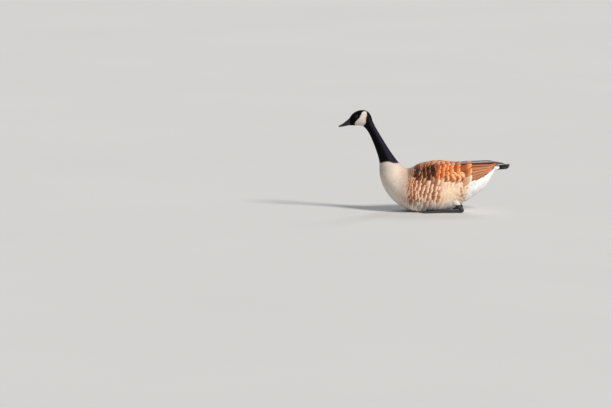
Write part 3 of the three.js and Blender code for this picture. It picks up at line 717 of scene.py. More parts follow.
def lay(sections, t, angle, length, width, form, lie, root, tip, camber, slope, bend=1.0, lift=0.2):
    """Feathers rooted at places on a surface, pointing tailward and turned by lie degrees.

    root and tip are heights over the surface, and bend is how early the vane rises to the tip's.
    """
    def each(value):
        return np.broadcast_to(value, len(t))[:, None]

    s, side, turn = each(length) * form.v, each(width) / 2 * form.w, np.radians(each(lie))
    per_t, _ = metric(sections, t, angle)
    middle = t - np.asarray(length) / 2 / per_t
    per_t, per_degree = metric(sections, np.maximum(middle, -0.3), angle)
    places = t[:, None] - (s * np.cos(turn) - side * np.sin(turn)) / per_t[:, None]
    around = (s * np.sin(turn) + side * np.cos(turn)) / np.maximum(per_degree, 0.05)[:, None]
    height = each(root) + (each(tip) - each(root)) * np.clip(form.v, 0, 1.1) ** bend
    height = height + each(camber) * (1 - form.w ** 2) + each(slope) * form.w + each(lift) * form.lift
    return off_section(sections, places, angle[:, None] + around, height)


def showing(points, form):
    """A place on each feather where it shows."""
    return points[:, int(np.argmin((form.v[0] - 0.75) ** 2 + form.w[0] ** 2))]


def varied(look, rng, amount):
    """Each feather's tone a little lighter or darker than the next."""
    tone, *rest = look
    return (tone * (1 + draw(rng, len(tone), amount))[:, None], *rest)


def plain(colour, n, depth=0.0, rim=None, strength=0.0):
    """One look for n feathers."""
    return np.tile(colour, (n, 1)), depth, np.tile(colour if rim is None else rim, (n, 1)), strength


def margin(share):
    """A share from 0 to 1 kept clear of the unwrap's edges."""
    return 0.02 + 0.96 * share


def bake_place(t, angle):
    """Where a root lies on the unwrap of the skin."""
    return np.stack([margin(angle % 360 / 360), margin(np.clip(t / BILL_ROOT, 0, 1))], -1)


# Plumage of body, neck and head

# Places along the body's sections, and how far apart the rows of feathers lie there, in millimetres.
ROW_PLACES = [0, 1, 2, 3, 4, 5, 6, 7, 8, 8.6, 9, 10, 11, 12, 12.6, 13, 14, 16, 19, 21, 24, 27]
ROW_SPACING = [6, 7, 8, 10, 13, 16, 16, 16, 14, 12, 9.5, 5.5, 4.2, 3.3, 2.6, 2.1, 1.9, 1.8, 1.6, 1.3, 1.1,
               0.8]
# How high the feathers of the flank reach over the folded wing, as [x, z].
FLANK_BORDER = [(-62, 180), (-52, 160), (-40, 143), (-20, 127), (2, 115), (12, 119), (24, 134), (60, 138),
                (90, 138), (120, 130)]
# Around the folded wing a degree is about so many millimetres, and ahead of it a place is far outside.
MM_PER_DEGREE = 1.7
FAR = 50


def rows_between(first, last):
    """Places of the rows of feathers from tail to bill."""
    rows, t = [], first
    while t < last:
        rows.append(t)
        per_t, _ = metric(BODY, t, 90.0)
        t += float(np.interp(t, ROW_PLACES, ROW_SPACING) / per_t)
    return rows


def over_wing(t, angle):
    """How many millimetres inside the folded wing's borders a place lies, less than 0 outside."""
    half = from_top(angle)
    inner = np.minimum(half - value_at(WING_UPPER, t), value_at(WING_LOWER, t) - half) * MM_PER_DEGREE
    # Behind the thigh the wing is narrower than the body, so that its lower edge is found by its height.
    place = on_section(BODY, t, angle)
    along = wing_place_at(place[..., 0])
    edge = on_section(WING, along, value_at(WING_LOWER, along))[..., 2]
    inner = np.where((t < 4) & (half > 60), np.minimum(inner, place[..., 2] - edge - 1), inner)
    return np.where(t < WING_ENDS, inner, -FAR)


def body_roots(first, last, closeness, rng):
    """Roots of feathers in staggered rows: t, angle, spacing along."""
    ts, angles, spacings = [], [], []
    for index, t in enumerate(rows_between(first, last)):
        spacing = float(np.interp(t, ROW_PLACES, ROW_SPACING))
        outline = on_section(BODY, np.full(73, t), np.linspace(0, 360, 73))
        girth = np.linalg.norm(np.diff(outline, axis=0), axis=1).sum()
        n = max(10, int(girth / (spacing * closeness)))
        angle = (np.arange(n) + 0.5 * (index % 2)) * 360 / n + draw(rng, n, 50 / n)
        ts.append(np.full(n, t) + draw(rng, n, 0.14) * spacing / float(metric(BODY, t, 90.0)[0]))
        angles.append(angle % 360)
        spacings.append(np.full(n, spacing))
    return np.concatenate(ts), np.concatenate(angles), np.concatenate(spacings)


def flank_lie(point, angle):
    """How the feathers turn from the body's line: down behind the shoulder, up at the rear."""
    x, _, z = np.moveaxis(point, -1, 0)
    low = step(152, 120, z)
    down = 14 * step(-95, -50, x) * step(60, 0, x) * low
    up = 40 * step(15, 70, x) * step(150, 112, x) * low
    return (down - up) * np.where(angle > 180, -1, 1)


def body_coat(rng, name, material, first, last, closeness, rows, cols, barbs):
    """Feathers of one stretch of the body, clear of the folded wings. Those of the flank are larger."""
    large = material == "flank"
    t, angle, spacing = body_roots(first, last, closeness, rng)
    if large:
        t = t + draw(rng, len(t), 0.03) + 0.09 * np.sin(np.radians(angle) * 8 + t * 2.5)
    under = over_wing(t, angle)
    side = from_top(angle)
    root = on_section(BODY, t, angle)
    border = np.interp(root[:, 0] + 22, *zip(*FLANK_BORDER))
    kept = (under < -6) | ((side > 50) & (t > 4.2) & (root[:, 2] < border + draw(rng, len(t), 3)))
    t, angle, spacing, under, side = (a[kept] for a in (t, angle, spacing, under, side))
    n = len(t)
    length = spacing * 2.6 * (1 + draw(rng, n, 0.1))
    width = spacing * closeness * np.interp(t, [3, 5], [1.85, 1.65]) * (1 + draw(rng, n, 0.1))
    form = Form(n).plate(rng, BLUNT if large else ROUND, rows, cols, 0.03 if large else 0.05)
    form = form.barbs(rng, barbs).done()
    raised = 2.0 * step(-14, 4, under) * (side > 60)
    low = np.interp(t, [0, 5, 8, 9.5, 12.7], [-1.8, -2.4, -2.4, -1.3, -0.9])
    high = np.interp(t, [0, 3, 5, 8, 9.5, 12.7], [0.5, 0.7, 1.1, 0.9, 0.4, 0.3]) + draw(rng, n, 0.12)
    lie = flank_lie(on_section(BODY, t, angle), angle) + draw(rng, n, 8 if large else 5)
    points = lay(BODY, t, angle, length, width, form, lie, low + raised, high + raised,
                 camber=0.02 * width, slope=0.015 * width, lift=0.012 * length)
    look = varied(markings(showing(points, form)), rng, 0.18 if large else 0.06)
    coat = Coat(name, material, "body_plumage")
    coat.add(points, form, look, bake_place(t, angle))
    coat.build()


def neck_coat(rng):
    """Soft tufts of neck and head, smaller on the head, which part around the eyes."""
    coat = Coat("plumage_neck", "neck", "neck_plumage")
    for first, last in ((12.5, HEAD_STARTS), (HEAD_STARTS, 26.95)):
        t, angle, spacing = body_roots(first, last, 0.68, rng)
        small = step(18, 24, t)
        length = spacing * (4.2 - 1.2 * small) * (1 + draw(rng, len(t), 0.15))
        lie, clear = around_eye(on_section(BODY, t, angle), angle, length)
        t, angle, spacing, length, lie, small = (a[clear] for a in (t, angle, spacing, length, lie, small))
        n = len(t)
        form = Form(n).strands(rng, 4).done()
        points = lay(BODY, t, angle, length, spacing * 1.3, form, lie + draw(rng, n, 8),
                     root=-0.8 + 0.3 * small, tip=0.25 + draw(rng, n, 0.15), camber=0.05, slope=0.0,
                     lift=0.12 + 0.1 * (1 - small))
        coat.add(points, form, varied(markings(showing(points, form)), rng, 0.15), bake_place(t, angle))
    coat.build()


def plumage():
    rng = np.random.default_rng(SEED)
    body_coat(rng, "plumage_rear", "body", 0.25, 3.6, 0.8, rows=6, cols=7, barbs=8)
    body_coat(rng, "plumage_flank", "flank", 3.6, 9.4, 1.1, rows=10, cols=15, barbs=44)
    body_coat(rng, "plumage_breast", "body", 9.35, 12.7, 0.85, rows=6, cols=7, barbs=9)
    neck_coat(rng)


def from_eye(dx, dz):
    """How far a place is from the eye, in the lids' own proportions."""
    return np.hypot(dx / LID_LONG, dz / LID_HIGH)


def around_eye(place, angle, length):
    """How the feathers of the face part around the eye, and which of them keep clear of it."""
    outer = np.abs(place[:, 1]) > FACE_SIDE
    dx, dz = place[:, 0] - EYE[0], place[:, 2] - EYE[2]
    away = from_eye(dx, dz) + 1e-6
    near = np.exp(-np.maximum(away - EYE_OPENING, 0) / 2.2) * outer
    turn = 62 * near * np.clip(-dx / away, 0, 1) * np.where(dz > 0, -1, 1)
    radians = np.radians(turn)
    tip_away = from_eye(dx + length * np.cos(radians), dz - length * np.sin(radians))
    lie = turn * np.where(angle > 180, -1, 1)
    return lie, ~(((away < EYE_OPENING) | (tip_away < EYE_OPENING - 0.3)) & outer)


def skin():
    """One skin under the coat from the tail's root to the bill's."""
    t, angle = np.meshgrid(np.linspace(0.02, BILL_ROOT - 0.02, 300), ring(144), indexing="ij")
    depth = np.interp(t, [0, 9, 13, 19, 24, 27], [2.6, 2.6, 1.3, 0.8, 0.5, 0.35])
    # The skin also lies below the wings' pockets and around the eyes.
    half = from_top(angle)
    upper, lower = value_at(WING_UPPER, t), value_at(WING_LOWER, t)
    pocket = step(-3, 5, half - upper) * step(-3, 5, lower - half) * step(9.0, 8.7, t)
    place = on_section(BODY, t, angle)
    eye = from_eye(place[..., 0] - EYE[0], place[..., 2] - EYE[2])
    socket = step(6.6, 5.4, eye) * (np.abs(place[..., 1]) > FACE_SIDE)
    points, faces = capped(off_section(BODY, t, angle, -depth - pocket * 6.5 - socket * 5))
    bake = np.stack([margin(angle / 360), margin(t / BILL_ROOT)], -1)
    piece("skin", points, faces, MATERIALS["skin"], "body_plumage", "torso", "neck_lower", "neck_upper",
          "head", bake=with_ends(bake), colours={"tone": with_ends(markings(place)[0]) * 0.75})


# Folded wings

# Where the tips of each row of coverts lie, from the shoulder back.
COVERT_TIPS = [-54, -35, -16, 2, 21, 37, 54, 74, 97, 121, 160]
# Where each primary starts and ends along X, from the uppermost down.
PRIMARIES = [(176, 299), (180, 296), (184, 291), (188, 285), (192, 279), (196, 272), (200, 265)]
# The secondaries from the back down: how far down the wing each lies, where its tip ends, its colour
# and its rim's.
SECONDARIES = [
    # The first, pale with a lilac rim, is a painted sheen along the wing's top edge.
    (0.03, 246, (176, 148, 140), (206, 192, 200)),
    (0.09, 250, (140, 98, 84), (64, 44, 38)),
    # The black third one stands for the primaries' dark edges and for painted shadow under the tertials
    # above.
    (0.2, 262, (18, 12, 11), (12, 8, 8)),
    (0.3, 266, (206, 112, 60), (226, 146, 96)),
    (0.345, 262, (84, 44, 28), (60, 30, 20)),
    (0.46, 263, (212, 128, 76), (230, 160, 112)),
    (0.5, 259, (104, 58, 36), (80, 42, 28)),
    (0.6, 257, (206, 134, 90), (224, 166, 124)),
    (0.635, 252, (140, 86, 56), (110, 66, 44)),
    (0.74, 248, (200, 134, 92), (218, 164, 124)),
    (0.77, 241, (144, 92, 64), (120, 76, 52)),
    (0.865, 236, (192, 132, 94), (208, 158, 122)),
    (0.89, 226, (150, 100, 72), (130, 86, 62)),
    (1, 214, (188, 132, 98), (206, 158, 126)),
]
SECONDARY_ROOT = 100
SECONDARY_WIDTH = 20
PRIMARY_WIDTH = 13.5
# How far apart the coverts of a row lie, and those of the last row.
COVERT_SPACING = 19.0
LAST_COVERT_SPACING = 24.0
WING_DEPTH = 7


def wing_place_at(x):
    """The place on the wing whose top has the given x."""
    grid = np.linspace(0, 9, 901)
    return np.interp(-np.asarray(x, float), -value_at(WING[TOP_X], grid), grid)


def wing_angle(t, share, clear):
    """The angle at a share of the way down the wing, clear of its edges by millimetres."""
    inset = np.degrees(clear / value_at(WING[HALF], t))
    upper, lower = value_at(WING_UPPER, t) + inset, value_at(WING_LOWER, t) - inset
    return upper + (lower - upper) * share


def wing_vane(root, tip, width, outline, root_height, tip_height, rng, camber=0.5):
    """One long vane between two places (x, share down the wing)."""
    form = Form(1).plate(rng, outline, 30, 11, 0.012).done()
    v, w = form.v[0], form.w[0]
    t = wing_place_at(root[0] + (tip[0] - root[0]) * v)
    middle = wing_angle(t, root[1] + (tip[1] - root[1]) * v, width / 2)
    height = root_height + (tip_height - root_height) * np.clip(v, 0, 1.1) ** 0.4
    height = height + camber * (1 - w ** 2) + 0.5 * w + 0.15 * form.lift[0]
    angle = middle + np.degrees(width / 2 * w / value_at(WING[HALF], t))
    return off_section(WING, t, angle, height)[None], form


def vent_side(x, z):
    """Half the body's width at places x, z behind the thigh, where its sections stand upright."""
    return side_at(BODY, np.interp(-x, -BODY[TOP_X, :6], np.arange(6)), z, upper=False)


def wing_core(side, label):
    """The body of the folded wing under its feathers."""
    t = np.linspace(0.9, 8.85, 60)[:, None]
    angle = wing_angle(t, np.linspace(0, 1, 24)[None, :], 1.0)
    outer = off_section(WING, t, angle, -2.6)
    inner = off_section(WING, t, angle, -WING_DEPTH * np.minimum(1, 0.22 + t / 3))
    points, faces = capped(np.concatenate([outer, inner[:, ::-1]], 1))
    tone = np.broadcast_to(DARK_BROWN * 0.6, points.shape)
    piece(f"wing_core_{label}", points, faces, MATERIALS["skin"], "flight_feathers", f"wing_{label}",
          bake=unwrap(points), colours={"tone": tone}, mirror=side > 0)


def coverts(coat, rng):
    """Scapulars and coverts in rows. The rows meet those of the other wing on the back."""
    for index, tip_x in enumerate(COVERT_TIPS):
        t_tip = float(wing_place_at(tip_x))
        per_t, per_degree = metric(WING, t_tip, 50.0)
        gap = 20.0 if index == 0 else tip_x - COVERT_TIPS[index - 1]
        upper, lower = 1.5, float(value_at(WING_LOWER, t_tip))
        across = COVERT_SPACING if index < 10 else LAST_COVERT_SPACING
        n = max(4, int((lower - upper) * per_degree / across))
        share = (np.arange(n) + 0.5 * (index % 2) + 0.2 + draw(rng, n, 0.12)) / n
        angle = upper + (lower - upper) * np.clip(share, 0.02, 0.98)
        wave = 4 * np.sin(share * 7 + index * 0.9) + 2 * np.sin(share * 17 + index * 2.3) + draw(rng, n, 1.2)
        if index >= 9:
            wave *= 0.5
        length = gap * 1.3 + 20 + draw(rng, n, 2)
        t = np.minimum(t_tip + (length - wave) / per_t, 9.25)
        width = across * 1.65 * (1 + draw(rng, n, 0.1))
        form = Form(n).plate(rng, BLUNT, 14, 21, 0.02).barbs(rng, 70, 0.024).done()
        points = lay(WING, t, angle, length, width, form, draw(rng, n, 5) + 3, root=-2.4 - 0.02 * index,
                     tip=1.7 + draw(rng, n, 0.15), camber=0.8, slope=0.5, bend=0.9)
        points[..., 1] = np.minimum(points[..., 1], -0.2)
        look = varied(markings(showing(points, form), on_wing=True), rng, 0.12)
        bake = np.stack([margin(np.clip(share, 0, 1)), margin(np.clip(t / 9.3, 0, 1))], -1)
        coat.add(points, form, look, bake)


def flight_feathers(coat, rng):
    """The primaries, and over them the secondaries from the lowest up."""
    for index, (root_x, tip_x) in enumerate(PRIMARIES):
        share = index / (len(PRIMARIES) - 1)
        root, tip = (root_x, 0.05 + 0.85 * share), (tip_x, 0.08 + 0.84 * share)
        points, form = wing_vane(root, tip, PRIMARY_WIDTH, POINTED, -3.0, -0.4 - 0.25 * index, rng, 0.3)
        points[..., 2] -= step(240, 300, points[..., 0]) * 5
        # The primaries' pale edges, strongest on the uppermost, are painted sheen.
        look = plain(PRIMARY_DARK, 1, 0.0, EDGE_PAINTED_SHEEN, 0.9 - 0.7 * share)
        coat.add(points, form, look, np.array([[share, 0.1]]) * 0.9 + 0.04)
    for index, (share, tip_x, tone, rim) in reversed(list(enumerate(SECONDARIES))):
        root = (SECONDARY_ROOT + 14 * share, share - 0.03 - 0.06 * (index < 5))
        points, form = wing_vane(root, (tip_x, share), SECONDARY_WIDTH, LONG, -2.4 - 0.1 * index,
                                 2.4 - 0.22 * index, rng)
        # The rear edge of the wing hangs a little over the vent, and lies close to it.
        points[..., 2] -= step(196, 246, points[..., 0]) * share * 9
        x, y, z = np.moveaxis(points, -1, 0)
        close = vent_side(x, z) + 3.4 - 0.22 * index + 0.5 * form.w
        y += (np.minimum(-close, y + 9) - y) * step(196, 236, x) * step(189, 174, z)
        look = varied(plain(rgb(*tone), 1, 0.3, rgb(*rim), 0.8), rng, 0.04)
        coat.add(points, form, look, np.array([[share, 0.5]]) * 0.9 + 0.04)


def wing(side, label):
    rng = np.random.default_rng(SEED + side)
    wing_core(side, label)
    layers = (("wing_coverts", "covert", coverts), ("wing_flight", "flight", flight_feathers))
    for name, material, fill in layers:
        coat = Coat(f"{name}_{label}", material, "flight_feathers")
        fill(coat, rng)
        coat.build(mirror=side > 0)


# Tail

# Where each fan of feathers starts as [x, z], half its breadth there, how far its outer feathers turn
# out and lie lower, and how far their outer edges tilt down.
FAN = {"root": (255, 179), "half": 17, "turn": 21, "drop": 14, "tilt": 2.0}
OVER_TAIL = {"root": (238, 179), "half": 14, "turn": 10, "drop": 5, "tilt": 1.0}
UNDER_TAIL = {"root": (230, 160.5), "half": 18, "turn": 8, "drop": -6, "tilt": -1.0}
TAIL_FEATHERS = 16
TAIL_LENGTH = 57
TAIL_WIDTH = 15.5
TAIL_RISE = 6
TAIL_COVERT_WIDTH = 13
# The rows of each fan of coverts: their lengths, how many are in the first, how far they rise over
# 30 mm, their camber, and how far each row lies over the one before.
COVERT_ROWS = ((OVER_TAIL, (32, 25, 18), 9, 2.5, 0.5, 0.5), (UNDER_TAIL, (30, 24, 18), 10, 4, -0.5, -0.8))


def fan_vane(fan, share, length, width, outline, rise, rng, camber=0.4):
    """One vane of a fan, at a share from -1 on the right to 1 on the left."""
    form = Form(1).plate(rng, outline, 18, 11, 0.02).barbs(rng, 30).done()
    v, w = form.v[0], form.w[0]
    turn = math.radians(-fan["turn"] * share)
    across = -width / 2 * w
    x = fan["root"][0] + length * v * math.cos(turn) - across * math.sin(turn)
    y = -fan["half"] * share + length * v * math.sin(turn) + across * math.cos(turn)
    z = fan["root"][1] - fan["drop"] * abs(share) + rise * v + camber * (1 - w ** 2)
    z = z - fan["tilt"] * share * w + 0.15 * form.lift[0] * np.sign(camber)
    return np.stack([x, y, z], -1)[None], form


def sleeve_roots(rng, rows, count, first, gap, t_spread, angle_spread):
    """Roots in rows round a sleeve, each row half a step from the next: t and angle."""
    row, place = np.meshgrid(np.arange(rows), np.arange(count), indexing="ij")
    t = (first + gap * row).ravel() + draw(rng, row.size, t_spread)
    angle = ((place + 0.5 * (row % 2)) * 360 / count).ravel() + draw(rng, row.size, angle_spread)
    return t, angle


def tail():
    rng = np.random.default_rng(SEED + 5)
    core = off_section(TAIL_ROOT, np.linspace(0, 2, 14)[:, None], ring(40)[None], -1.5) + [0.4, 0, 0]
    points, faces = capped(core)
    tone = mix(WHITE, TAIL_BLACK, step(260, 264, points[..., 0])) * 0.8
    piece("tail_core", points, faces, MATERIALS["skin"], "tail_feathers", "tail", bake=unwrap(points),
          colours={"tone": tone})
    # White feathers lie round the root of the tail.
    t, angle = sleeve_roots(rng, 4, 26, 2.12, -0.16, 0.02, 3)
    n = len(t)
    form = Form(n).plate(rng, ROUND, 6, 7, 0.05).barbs(rng, 10, 0.04).done()
    points = lay(TAIL_ROOT, t, angle, 12 + draw(rng, n, 3), 8.5, form, draw(rng, n, 5), root=-1.3, tip=0.5,
                 camber=0.2, slope=0.15)
    collar = points, form, varied(plain(WHITE, n), rng, 0.05), bake_place(t * 0.1, angle)
    coat = Coat("tail_feathers", "tail", "tail_feathers")
    for share in sorted(np.linspace(-1, 1, TAIL_FEATHERS), key=lambda s: -abs(s)):
        length = TAIL_LENGTH * (1 - 0.1 * share ** 2)
        points, form = fan_vane(FAN, share, length, TAIL_WIDTH, BROAD, TAIL_RISE, rng)
        # The tail feathers' pale rims, stronger on the outer ones, are painted sheen.
        look = varied(plain(TAIL_BLACK, 1, 0.0, EDGE_PAINTED_SHEEN, 0.3 + 0.4 * abs(share) ** 4), rng, 0.2)
        coat.add(points, form, look, np.array([[0.5 + share * 0.45, 0.5]]))
    coat.build()
    coat = Coat("tail_coverts", "body", "body_plumage")
    coat.add(*collar)
    for fan, lengths, count, rise, camber, over in COVERT_ROWS:
        for row, length in enumerate(lengths):
            for share in np.linspace(-1, 1, count - row):
                points, form = fan_vane(fan, share, length, TAIL_COVERT_WIDTH, ROUND, rise * length / 30,
                                        rng, camber)
                points[..., 2] += row * over
                look = varied(plain(WHITE, 1), rng, 0.04)
                coat.add(points, form, look, np.array([[0.5 + share * 0.45, 0.2 + 0.2 * row]]))
    coat.build()


# Eyes, lids and bill

# The eye's middle: its x, how far it is from the mid-plane, and its z.
EYE = (-286.5, 11.3, 371.5)
EYE_RADIUS = 8.5
EYE_OPENING = 6.6
BALL_RINGS, BALL_SIDES = 25, 48
LID_RADIUS = 5.7
LID_THICKNESS = 0.6
LID_OUT = 6.7
# How much longer and how much lower than round the lids are.
LID_LONG = 1.1
LID_HIGH = 0.93
LID_WRINKLES = 23
LID_RINGS, LID_SIDES = 64, 12
# How far from the mid-plane the side of the face starts.
FACE_SIDE = 8

# The line of the closed mouth, as [x, z].
MOUTH = np.array([(-300, 346.5), (-315, 343.5), (-327, 339.8), (-339, 336), (-349, 332.4), (-362, 329.5)])
NOSTRIL = (-328.5, 346.3)
NOSTRIL_TILT = 0.56
# The hollow round the nostril: its depth, half its length and half its height.
HOLLOW = (1.3, 7, 3.2)
GAP = 0.3


def eyes():
    material = eye_material()
    lid_skin = horn_material("lid_skin", (0.007, 0.0065, 0.0075), 0.75, 500.0)
    down = np.linspace(0, math.pi, BALL_RINGS)[:, None]
    around = ring(BALL_SIDES, FULL_TURN)[None]
    out = np.sin(down)
    ball = [out * np.cos(around), -np.cos(down) * np.ones_like(around), out * np.sin(around)]
    turn, tube_turn = ring(LID_RINGS, FULL_TURN)[:, None], ring(LID_SIDES, FULL_TURN)[None]
    swell = LID_THICKNESS * (1 + 0.25 * np.sin(turn)) + 0.12 * np.sin(turn * LID_WRINKLES) * (tube_turn > 0)
    reach = LID_RADIUS + swell * np.cos(tube_turn)
    brow = 0.5 * np.maximum(np.sin(turn), 0)
    x = EYE[0] + LID_LONG * reach * np.cos(turn)
    z = EYE[2] + LID_HIGH * reach * np.sin(turn)
    y = EYE[1] + LID_OUT + swell * 0.9 * np.sin(tube_turn) + brow - 0.05 * (reach * np.cos(turn)) ** 2 * 0.3
    lid = np.stack([x, y, z], -1)
    # The lid's last ring is joined to its first.
    lid_faces = grid_faces(LID_RINGS + 1, LID_SIDES, wrap=True) % (LID_RINGS * LID_SIDES)
    for side, label in SIDES:
        points = np.array([EYE[0], side * EYE[1], EYE[2]]) + EYE_RADIUS * np.stack(ball, -1)
        ball_faces = grid_faces(BALL_RINGS, BALL_SIDES, wrap=True)[:, ::-1]
        piece(f"eye_{label}_ball", points, ball_faces, material, "eye", f"eye_{label}")
        piece(f"eyelid_{label}", lid, lid_faces, lid_skin, "neck_plumage", mirror=side < 0)


def mouth_at(x):
    """The height of the mouth's line."""
    return np.interp(-x, -MOUTH[:, 0], MOUTH[:, 1])


def from_nostril(x, z):
    """Places along and across the nostril's length."""
    dx, dz = NOSTRIL[0] - x, z - NOSTRIL[1]
    return (dx * math.cos(NOSTRIL_TILT) - dz * math.sin(NOSTRIL_TILT),
            dx * math.sin(NOSTRIL_TILT) + dz * math.cos(NOSTRIL_TILT))


def hollow(x, z):
    """How deep the side of the bill is hollowed at places x, z."""
    along, over = from_nostril(x, z)
    depth, half_length, half_height = HOLLOW
    return depth * np.exp(-((along / half_length) ** 4) - (over / half_height) ** 4)


def bill_side(x, z):
    """How far out the hollowed side of the bill lies at places x, z."""
    t = np.interp(-(x + GAP), -BILL[TOP_X], np.arange(5))
    return side_at(BILL, t, z, upper=True) - hollow(x, z)


def bill_half(upper):
    """Rings of one half of the bill: an arc over its section, closed along the mouth."""
    fine = np.linspace(0, 180, 721)
    rings = []
    for place in np.linspace(-0.22, 3.88, 90):
        outline = on_section(BILL, place, fine)
        mouth = mouth_at(outline[:, 0])
        # The lower half reaches a little up inside the upper one, so that no light passes between them.
        cut = fine[np.argmin(np.abs(outline[:, 2] - mouth - (0 if upper else 0.8)))]
        arc = np.linspace(-cut, cut, 65) if upper else np.linspace(cut, 360 - cut, 65)
        edge = on_section(BILL, place, arc % 360)
        rings.append(np.concatenate([edge, np.linspace(edge[-1], edge[0], 17)[1:-1]]))
    # The tip is round.
    last = rings[-1]
    middle = np.array([last[:, 0].mean(), 0, mouth.mean()])
    for turn in np.radians([20, 40, 58, 74, 86]):
        rings.append(middle + (last - middle) * math.cos(turn) - [2 * math.sin(turn), 0, 0])
    rings = np.array(rings)
    if not upper:
        rings[..., 1] *= 0.9
    rings[..., 0] -= GAP
    return rings


def upper_details(rings):
    """The hollow and the rim of the nostril, the horn's rim along the mouth, and the nail at the tip."""
    x, y, z = np.moveaxis(rings, -1, 0)
    side = np.sign(y) * (np.abs(y) > 1.5)
    y -= side * hollow(x, z)
    along, over = from_nostril(x, z)
    y += side * 0.35 * bell((np.hypot(along / 4.3, over / 2) - 1) / 0.25)
    mouth = mouth_at(x)
    y += side * 0.45 * bell((z - mouth - 0.7) / 0.8) * step(-312, -318, x) * step(-356, -352, x)
    nail = step(-346.5, -348.2, x + 0.10 * y ** 2)
    z += nail * 0.8 * bell(y / 5.5, 4) * (z > mouth + 0.5)


def bills():
    horn = horn_material("bill_horn", (0.006, 0.006, 0.008), 0.45, 260.0)
    dark = horn_material("nostril_dark", (0.002, 0.002, 0.002), 0.9, 260.0)
    for upper, name in ((True, "bill_upper"), (False, "bill_lower")):
        rings = bill_half(upper)
        if upper:
            upper_details(rings)
        piece(f"{name}_horn", *capped(rings), horn, "bill", name)
    turn = ring(24, FULL_TURN)
    rings = []
    for reach in (0, 0.6, 1):
        along, over = 3.4 * reach * np.cos(turn), 1.15 * reach * np.sin(turn)
        x = NOSTRIL[0] - along * math.cos(NOSTRIL_TILT) + over * math.sin(NOSTRIL_TILT)
        z = NOSTRIL[1] + along * -math.sin(NOSTRIL_TILT) + over * math.cos(NOSTRIL_TILT)
        rings.append(np.stack([x, -bill_side(x, z) - 0.25 + 0.4 * (1 - reach), z], -1))
    for side, label in SIDES:
        piece(f"nostril_{label}", rings, grid_faces(3, 24, wrap=True), dark, "bill", mirror=side > 0)


# Legs and feet

# Places and radii of the left leg and hind toe.
LEG = [((84, -60, 54), 12), ((101, -62, 34), 10.5), ((117, -64, 17), 8.2), ((122, -65, 9.5), 8.4),
       ((113, -65, 7.2), 6.6), ((86, -66, 6), 5.4), ((60, -66, 5.6), 5.2), ((46, -67, 6), 5.5)]
HIND_TOE = [((56, -65, 5), 3), ((64, -57, 4.4), 3), ((70, -54, 3.6), 2.6)]
HIND_CLAW = [((70, -54, 3.6), 2.2), ((74, -52.5, 2.6), 1.5), ((77, -51.5, 1.2), 0.5)]
FOOT_STARTS = 47
# The feathered thigh, from its lower end up, and how far out it lies.
THIGH = columns([
    ((114, 35), (101, 24), 8.9, 0.5, 2),
    ((109.5, 45), (91, 29.5), 12, 0.5, 2),
    ((103, 57), (80, 37), 14.5, 0.5, 2),
    ((94, 69), (68, 46), 16, 0.5, 2),
])
THIGH_OUT = 61.5
TOE_ROOT = np.array([50, -67, 6.0])
# Tip and number of joints of each toe.
TOES = [((-14, -56, 3.2), 2), ((-34, -70, 3.2), 3), ((-22, -88, 3.2), 3)]
TOE_RADIUS = 3.9
TOE_ROOT_RADIUS = 6.2
# Along each claw: how far past the toe's end, how far up, and its radius.
CLAW = ((-1, 0.6, 2.6), (3, 0.3, 2.2), (6.5, -0.8, 1.4), (9, -2.0, 0.6))
WEB_TOP = 1.8
WEB_BOTTOM = 0.1


def tube(run, rings, sides, wrinkle=0.0):
    """A smooth bar through places and radii, flat where it would pass below the floor: points and faces."""
    places = np.array([p for p, _ in run], float)
    u = np.linspace(0, len(run) - 1, rings)
    line = np.stack([value_at(column, u) for column in places.T], -1)
    along = np.gradient(line, axis=0)
    along /= np.linalg.norm(along, axis=1, keepdims=True)
    side = np.cross([0, 1, 0], along)
    side /= np.linalg.norm(side, axis=1, keepdims=True)
    up = np.cross(along, side)
    turn = ring(sides, FULL_TURN)[None, :, None]
    radius = value_at([r for _, r in run], u) * (1 + wrinkle * np.sin(np.arange(rings) * 2.2))
    outward = side[:, None] * np.cos(turn) + up[:, None] * np.sin(turn)
    points = line[:, None] + radius[:, None, None] * outward
    points[..., 2] = np.maximum(points[..., 2], 0.05)
    return capped(points[:, ::-1])


def within(shape, low=-math.inf, high=math.inf):
    """A shape with everything past an x drawn back to it."""
    points, faces = shape
    points[..., 0] = np.clip(points[..., 0], low, high)
    return points, faces


def toe_point(tip, share):
    return TOE_ROOT + (np.array(tip, float) - TOE_ROOT) * share


def toe(tip, joints):
    """A toe with knuckles."""
    steps = 2 * joints + 1
    run = [(TOE_ROOT, TOE_ROOT_RADIUS)]
    for i in range(1, steps + 1):
        knuckle = 1.18 if i % 2 == 0 else 0.98
        run.append((toe_point(tip, i / steps), TOE_RADIUS * (1 - 0.3 * i / steps) * knuckle))
    return within(tube(run, 48, 16, 0.02), high=FOOT_STARTS - GAP)


def claw(tip):
    length = np.linalg.norm(np.array(tip) - TOE_ROOT)
    run = [(toe_point(tip, 1 + past / length) + [0, 0, rise], radius) for past, rise, radius in CLAW]
    return tube(run, 16, 12)


def web(inner, outer):
    """The web between two toes, hollow at its front edge and rippled on top."""
    share = np.linspace(0.06, 0.95, 24)[:, None]
    across = np.linspace(0, 1, 17)[None, :]
    back = (share * (1 - 0.8 * across * (1 - across)))[..., None]
    top = toe_point(inner, back) * (1 - across[..., None]) + toe_point(outer, back) * across[..., None]
    under = top.copy()
    top[..., 2] = WEB_TOP + 0.35 * np.sin(across * 12)
    under[..., 2] = WEB_BOTTOM
    return within(capped(np.concatenate([top, under[:, ::-1]], 1)), high=FOOT_STARTS - GAP)


